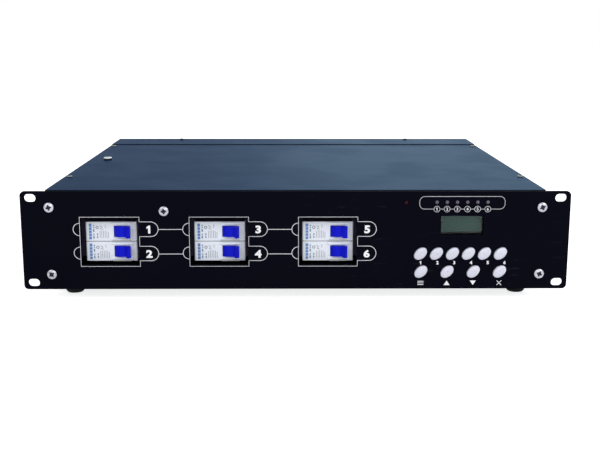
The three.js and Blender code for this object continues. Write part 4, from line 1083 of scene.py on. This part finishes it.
def output_sleeves(node, stand):
    """An insert that fills the output, with three sleeved holes."""
    radius, edge, hole, hole_mouth, over = 0.0076, 0.0006, 0.00155, 0.0021, 0.0005
    neck, hole_start = socket_bezel - edge, socket_bezel - 0.0115
    inner, outer, start, end = 0.0011, 0.0015, socket_bezel - 0.0113, socket_bezel - 0.0014
    insert = peg(radius, radius - edge, socket_floor, neck, socket_bezel, 48)
    sleeves = []
    for place in pin_places:
        insert = carved(insert, peg(hole, hole_mouth, hole_start, neck, socket_bezel + over, 20, place))
        sleeves.append(tube(inner, outer, start, end, 16, to_top, place))
    piece("signal_output_insert", insert, outlet_black, node, stand)
    piece("signal_output_sleeves", joined(*sleeves), gold_plate, node, stand)


def signal_sockets():
    """The signal input with its pins, and the signal output with its sleeves and latch tab."""
    screw = cross_head_screw(head=0.0024, height=0.0009, shank=0.0014, length=0.004, recess=0.0028)
    for label, contacts in (("input", input_pins), ("output", output_sleeves)):
        node = "signal_%s_socket" % label
        stand = at(middle(node).x, case_back, middle(node).z) @ to_rear
        signal_shell(node, label, stand, screw)
        contacts(node, stand)
    screw.free()
    stand_in("signal_latch_tab", eased("signal_output_latch", 0.0003), satin_nickel, "signal_output_latch")


gland_sleeve_end, gland_bore = 0.0203, 0.0085
hexagon_corner = 1 / math.cos(math.radians(30))


def gland_base():
    """Hexagonal body of the cable gland, with its threaded sleeve left plain."""
    flat, thickness = 0.015, 0.007
    hexagon = slab([circle(0, 0, flat * hexagon_corner, 6)], thickness, 0.0, to_top, (0, 0, touching_gap))
    foot, widest, narrow, low, high, top = 0.0164, 0.0176, 0.0162, 0.0013, 0.0061, 0.0074
    chamfer = turned([(0, 0), (foot, 0), (widest, low), (widest, high), (narrow, top), (0, top)], 64)
    hexagon = carved(hexagon, chamfer, "INTERSECT")
    sleeve, thread, inner_end, edge, step = 0.0102, 0.0125, -0.0105, 0.0005, 0.0035
    core = turned([(gland_bore, inner_end), (thread - edge, inner_end), (thread, inner_end + edge),
                   (thread, step), (sleeve, step), (sleeve, gland_sleeve_end),
                   (gland_bore, gland_sleeve_end)], 48, closed=True)
    hollow, below, above = 0.0094, -0.002, 0.009
    return joined(carved(hexagon, rod(hollow, below, above, 48)), core)


def gland_nut():
    """Dome nut of the cable gland: a hexagon that runs into a dome, hollow inside."""
    flat, front, back, over = 0.0135, 0.0076, 0.0246, 0.001
    hexagon = slab([circle(0, 0, flat * hexagon_corner, 6)], back - front, 0.0, to_top, (0, 0, front))
    dome_centre, dome_start, dome_width, dome_height = 0.0104, 0.0161, 0.0052, 0.0085
    dome = oval_arc(dome_centre, dome_start, dome_width, dome_height, 0, 90, 8)
    skirt = dome_centre + dome_width
    skin = turned([(0, front), (skirt - over, front), (skirt, front + over), *dome, (0, back)], 64)
    thread, mouth, mouth_depth = 0.01055, 0.0092, 0.0006
    seat = gland_sleeve_end + running_gap
    hollow = turned([(0, front - over), (thread, front - over), (thread, seat), (gland_bore, seat),
                     (gland_bore, back - mouth_depth), (mouth, back + over), (0, back + over)], 48)
    return carved(carved(hexagon, skin, "INTERSECT"), hollow)


def cable_gland():
    """The gland's body and dome nut, and the rubber seal inside."""
    stand = at(middle("gland_nut").x, case_back, plate_middle) @ to_rear
    stand_in("gland_base", gland_base(), nylon_black, "gland_body", stand)
    stand_in("gland_dome_nut", gland_nut(), nylon_black, "gland_nut", stand)
    hole, outside, start = 0.0046, 0.0084, 0.006
    seal = turned([(hole, start), (outside, start), (outside, 0.0195), (0.007, 0.0212), (0.0052, 0.0206),
                   (hole, 0.0196)], 48, closed=True)
    piece("gland_seal", seal, seal_rubber, "gland_body", stand)


# Inside


def fan_blade(root, tip, depth, turn):
    """A curved blade, wider and further round towards its tip."""
    chord, chord_growth, sweep, pitch_share = 0.0125, 0.003, 0.25, 0.78
    camber, thickness = 0.0011, 0.0011
    blade = bmesh.new()
    bmesh.ops.create_grid(blade, x_segments=6, y_segments=6, size=0.5)
    for vert in blade.verts:
        out, along = vert.co.x + 0.5, vert.co.y
        radius = root + out * (tip - root)
        swing = along * (chord + chord_growth * out) / radius + sweep * out
        rise = depth / 2 + along * depth * pitch_share + camber * math.cos(math.pi * along)
        vert.co = (radius * math.cos(swing), radius * math.sin(swing), rise)
    bmesh.ops.solidify(blade, geom=blade.faces[:], thickness=thickness)
    bmesh.ops.recalc_face_normals(blade, faces=blade.faces)
    blade.transform(turn_by(turn))
    return blade


def fan():
    """Frame against the right wall, and an impeller with curved blades."""
    refinish(nylon_black, "fan_frame")
    low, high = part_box("fan_frame")
    motor_depth, intake = 0.008, 0.002
    face = high.x - motor_depth - touching_gap
    depth = face - (low.x + intake)
    radius, tip_radius, count, soft, nose = 0.013, 0.0268, 7, 0.001, 0.0015
    hub = turned([(0, 0), (radius - soft, 0), (radius, soft), (radius, depth - nose), (radius - nose, depth),
                  (0, depth)], 40)
    root_sunk, axle, axle_start, axle_end = 0.001, 0.0015, -0.0053, 0.0005
    blades = [fan_blade(radius - root_sunk, tip_radius, depth, 360 * i / count) for i in range(count)]
    whole = joined(hub, rod(axle, axle_start, axle_end, 20), *blades)
    stand = at(face, (low.y + high.y) / 2, (low.z + high.z) / 2) @ turn_by(-90, "Y")
    stand_in("fan_rotor", whole, nylon_black, "fan_impeller", stand)


def inner_parts():
    refinish(circuit_green, "control_board", "power_board")
    refinish(bracket_black, "breaker_bracket")
    refinish(extruded_aluminium, "heatsink")
    refinish(laminations, "control_transformer")
    refinish(terminal_grey, "mains_terminal_block")


# Camera, floor and light


def place_camera():
    """A long lens a little above the pack, as the photograph has it."""
    aside, before, above = -0.0078, 0.8334, 0.1846
    yaw, pitch, roll = -0.76, 90 - 11.564, 0.1
    data = bpy.data.cameras.new("photo_camera")
    data.sensor_width = 36.0
    data.lens = 58.05
    camera = in_scene("photo_camera", data)
    camera.location = (aside, plate_front - before, plate_middle + above)
    camera.rotation_euler = (turn_by(yaw) @ turn_by(pitch, "X") @ turn_by(roll)).to_euler()
    scene.camera = camera


def seen_directly(tree):
    """One for rays from the camera, from gloss and through glass."""
    rays = tree.nodes.new("ShaderNodeLightPath").outputs
    first = reckoned(tree, "MAXIMUM", rays["Is Camera Ray"], rays["Is Glossy Ray"])
    return reckoned(tree, "MAXIMUM", first, rays["Is Transmission Ray"])


def studio_floor():
    """A pale floor that runs into the white background and keeps the pack's shadow."""
    bm = bmesh.new()
    bmesh.ops.create_grid(bm, x_segments=1, y_segments=1, size=12.0)
    floor = object_of(bm, "studio_floor")
    material = bpy.data.materials.new("studio_floor")
    material.use_nodes = True
    tree = material.node_tree
    glow = reckoned(tree, "MULTIPLY", seen_directly(tree), 0.8)
    fill(tree, tree.nodes["Principled BSDF"], {
        "Base Color": (0.8, 0.8, 0.8, 1.0), "Roughness": 1.0, "Specular IOR Level": 0.0,
        "Emission Color": (1.0, 1.0, 1.0, 1.0), "Emission Strength": glow})
    floor.data.materials.append(material)


def studio_light():
    """A white world, dimmer for the pack than for the camera, and four soft lamps."""
    world = bpy.data.worlds.new("studio")
    world.use_nodes = True
    scene.world = world
    tree = world.node_tree
    strength = rising(tree, seen_directly(tree), 0.0, 1.0, 0.55, 1.0)
    fill(tree, tree.nodes["Background"], {"Color": (1.0, 1.0, 1.0, 1.0), "Strength": strength})
    softboxes = [
        ("left_softbox", (-1.3, -1.5, 1.5), 1.2, 11.0, (0.93, 0.96, 1.0)),
        ("right_softbox", (1.4, -1.4, 1.3), 1.2, 18.0, (1.0, 0.99, 0.97)),
        ("front_softbox", (0.1, -2.4, 0.75), 1.0, 7.0, (1.0, 1.0, 0.97)),
        ("rear_softbox", (0.85, 1.7, 0.5), 2.0, 14.0, (1.0, 1.0, 0.74)),
    ]
    target = Vector((0.0, 0.0, plate_middle))
    for name, place, size, power, colour in softboxes:
        data = bpy.data.lights.new(name, "AREA")
        data.size = size
        data.energy = power
        data.color = colour
        lamp = in_scene(name, data)
        lamp.location = place
        lamp.rotation_euler = (target - Vector(place)).to_track_quat("-Z", "Y").to_euler()


place_camera()
front_plate()
group_printing()
lamp_printing()
button_printing()
plate_screws()
earth_screw()
cover_screws()
for breaker_number in "123456":
    for built in (breaker_case, toggle_guards, breaker_label, toggle):
        built("breaker_" + breaker_number, breaker_number)
for button_name in button_names:
    button(button_name)
lamps()
display()
case_sheets()
feet()
for outlet_number in "123456":
    outlet("mains_outlet_" + outlet_number, outlet_number)
signal_sockets()
cable_gland()
fan()
inner_parts()
studio_floor()
studio_light()
scene.view_settings.view_transform = "Standard"
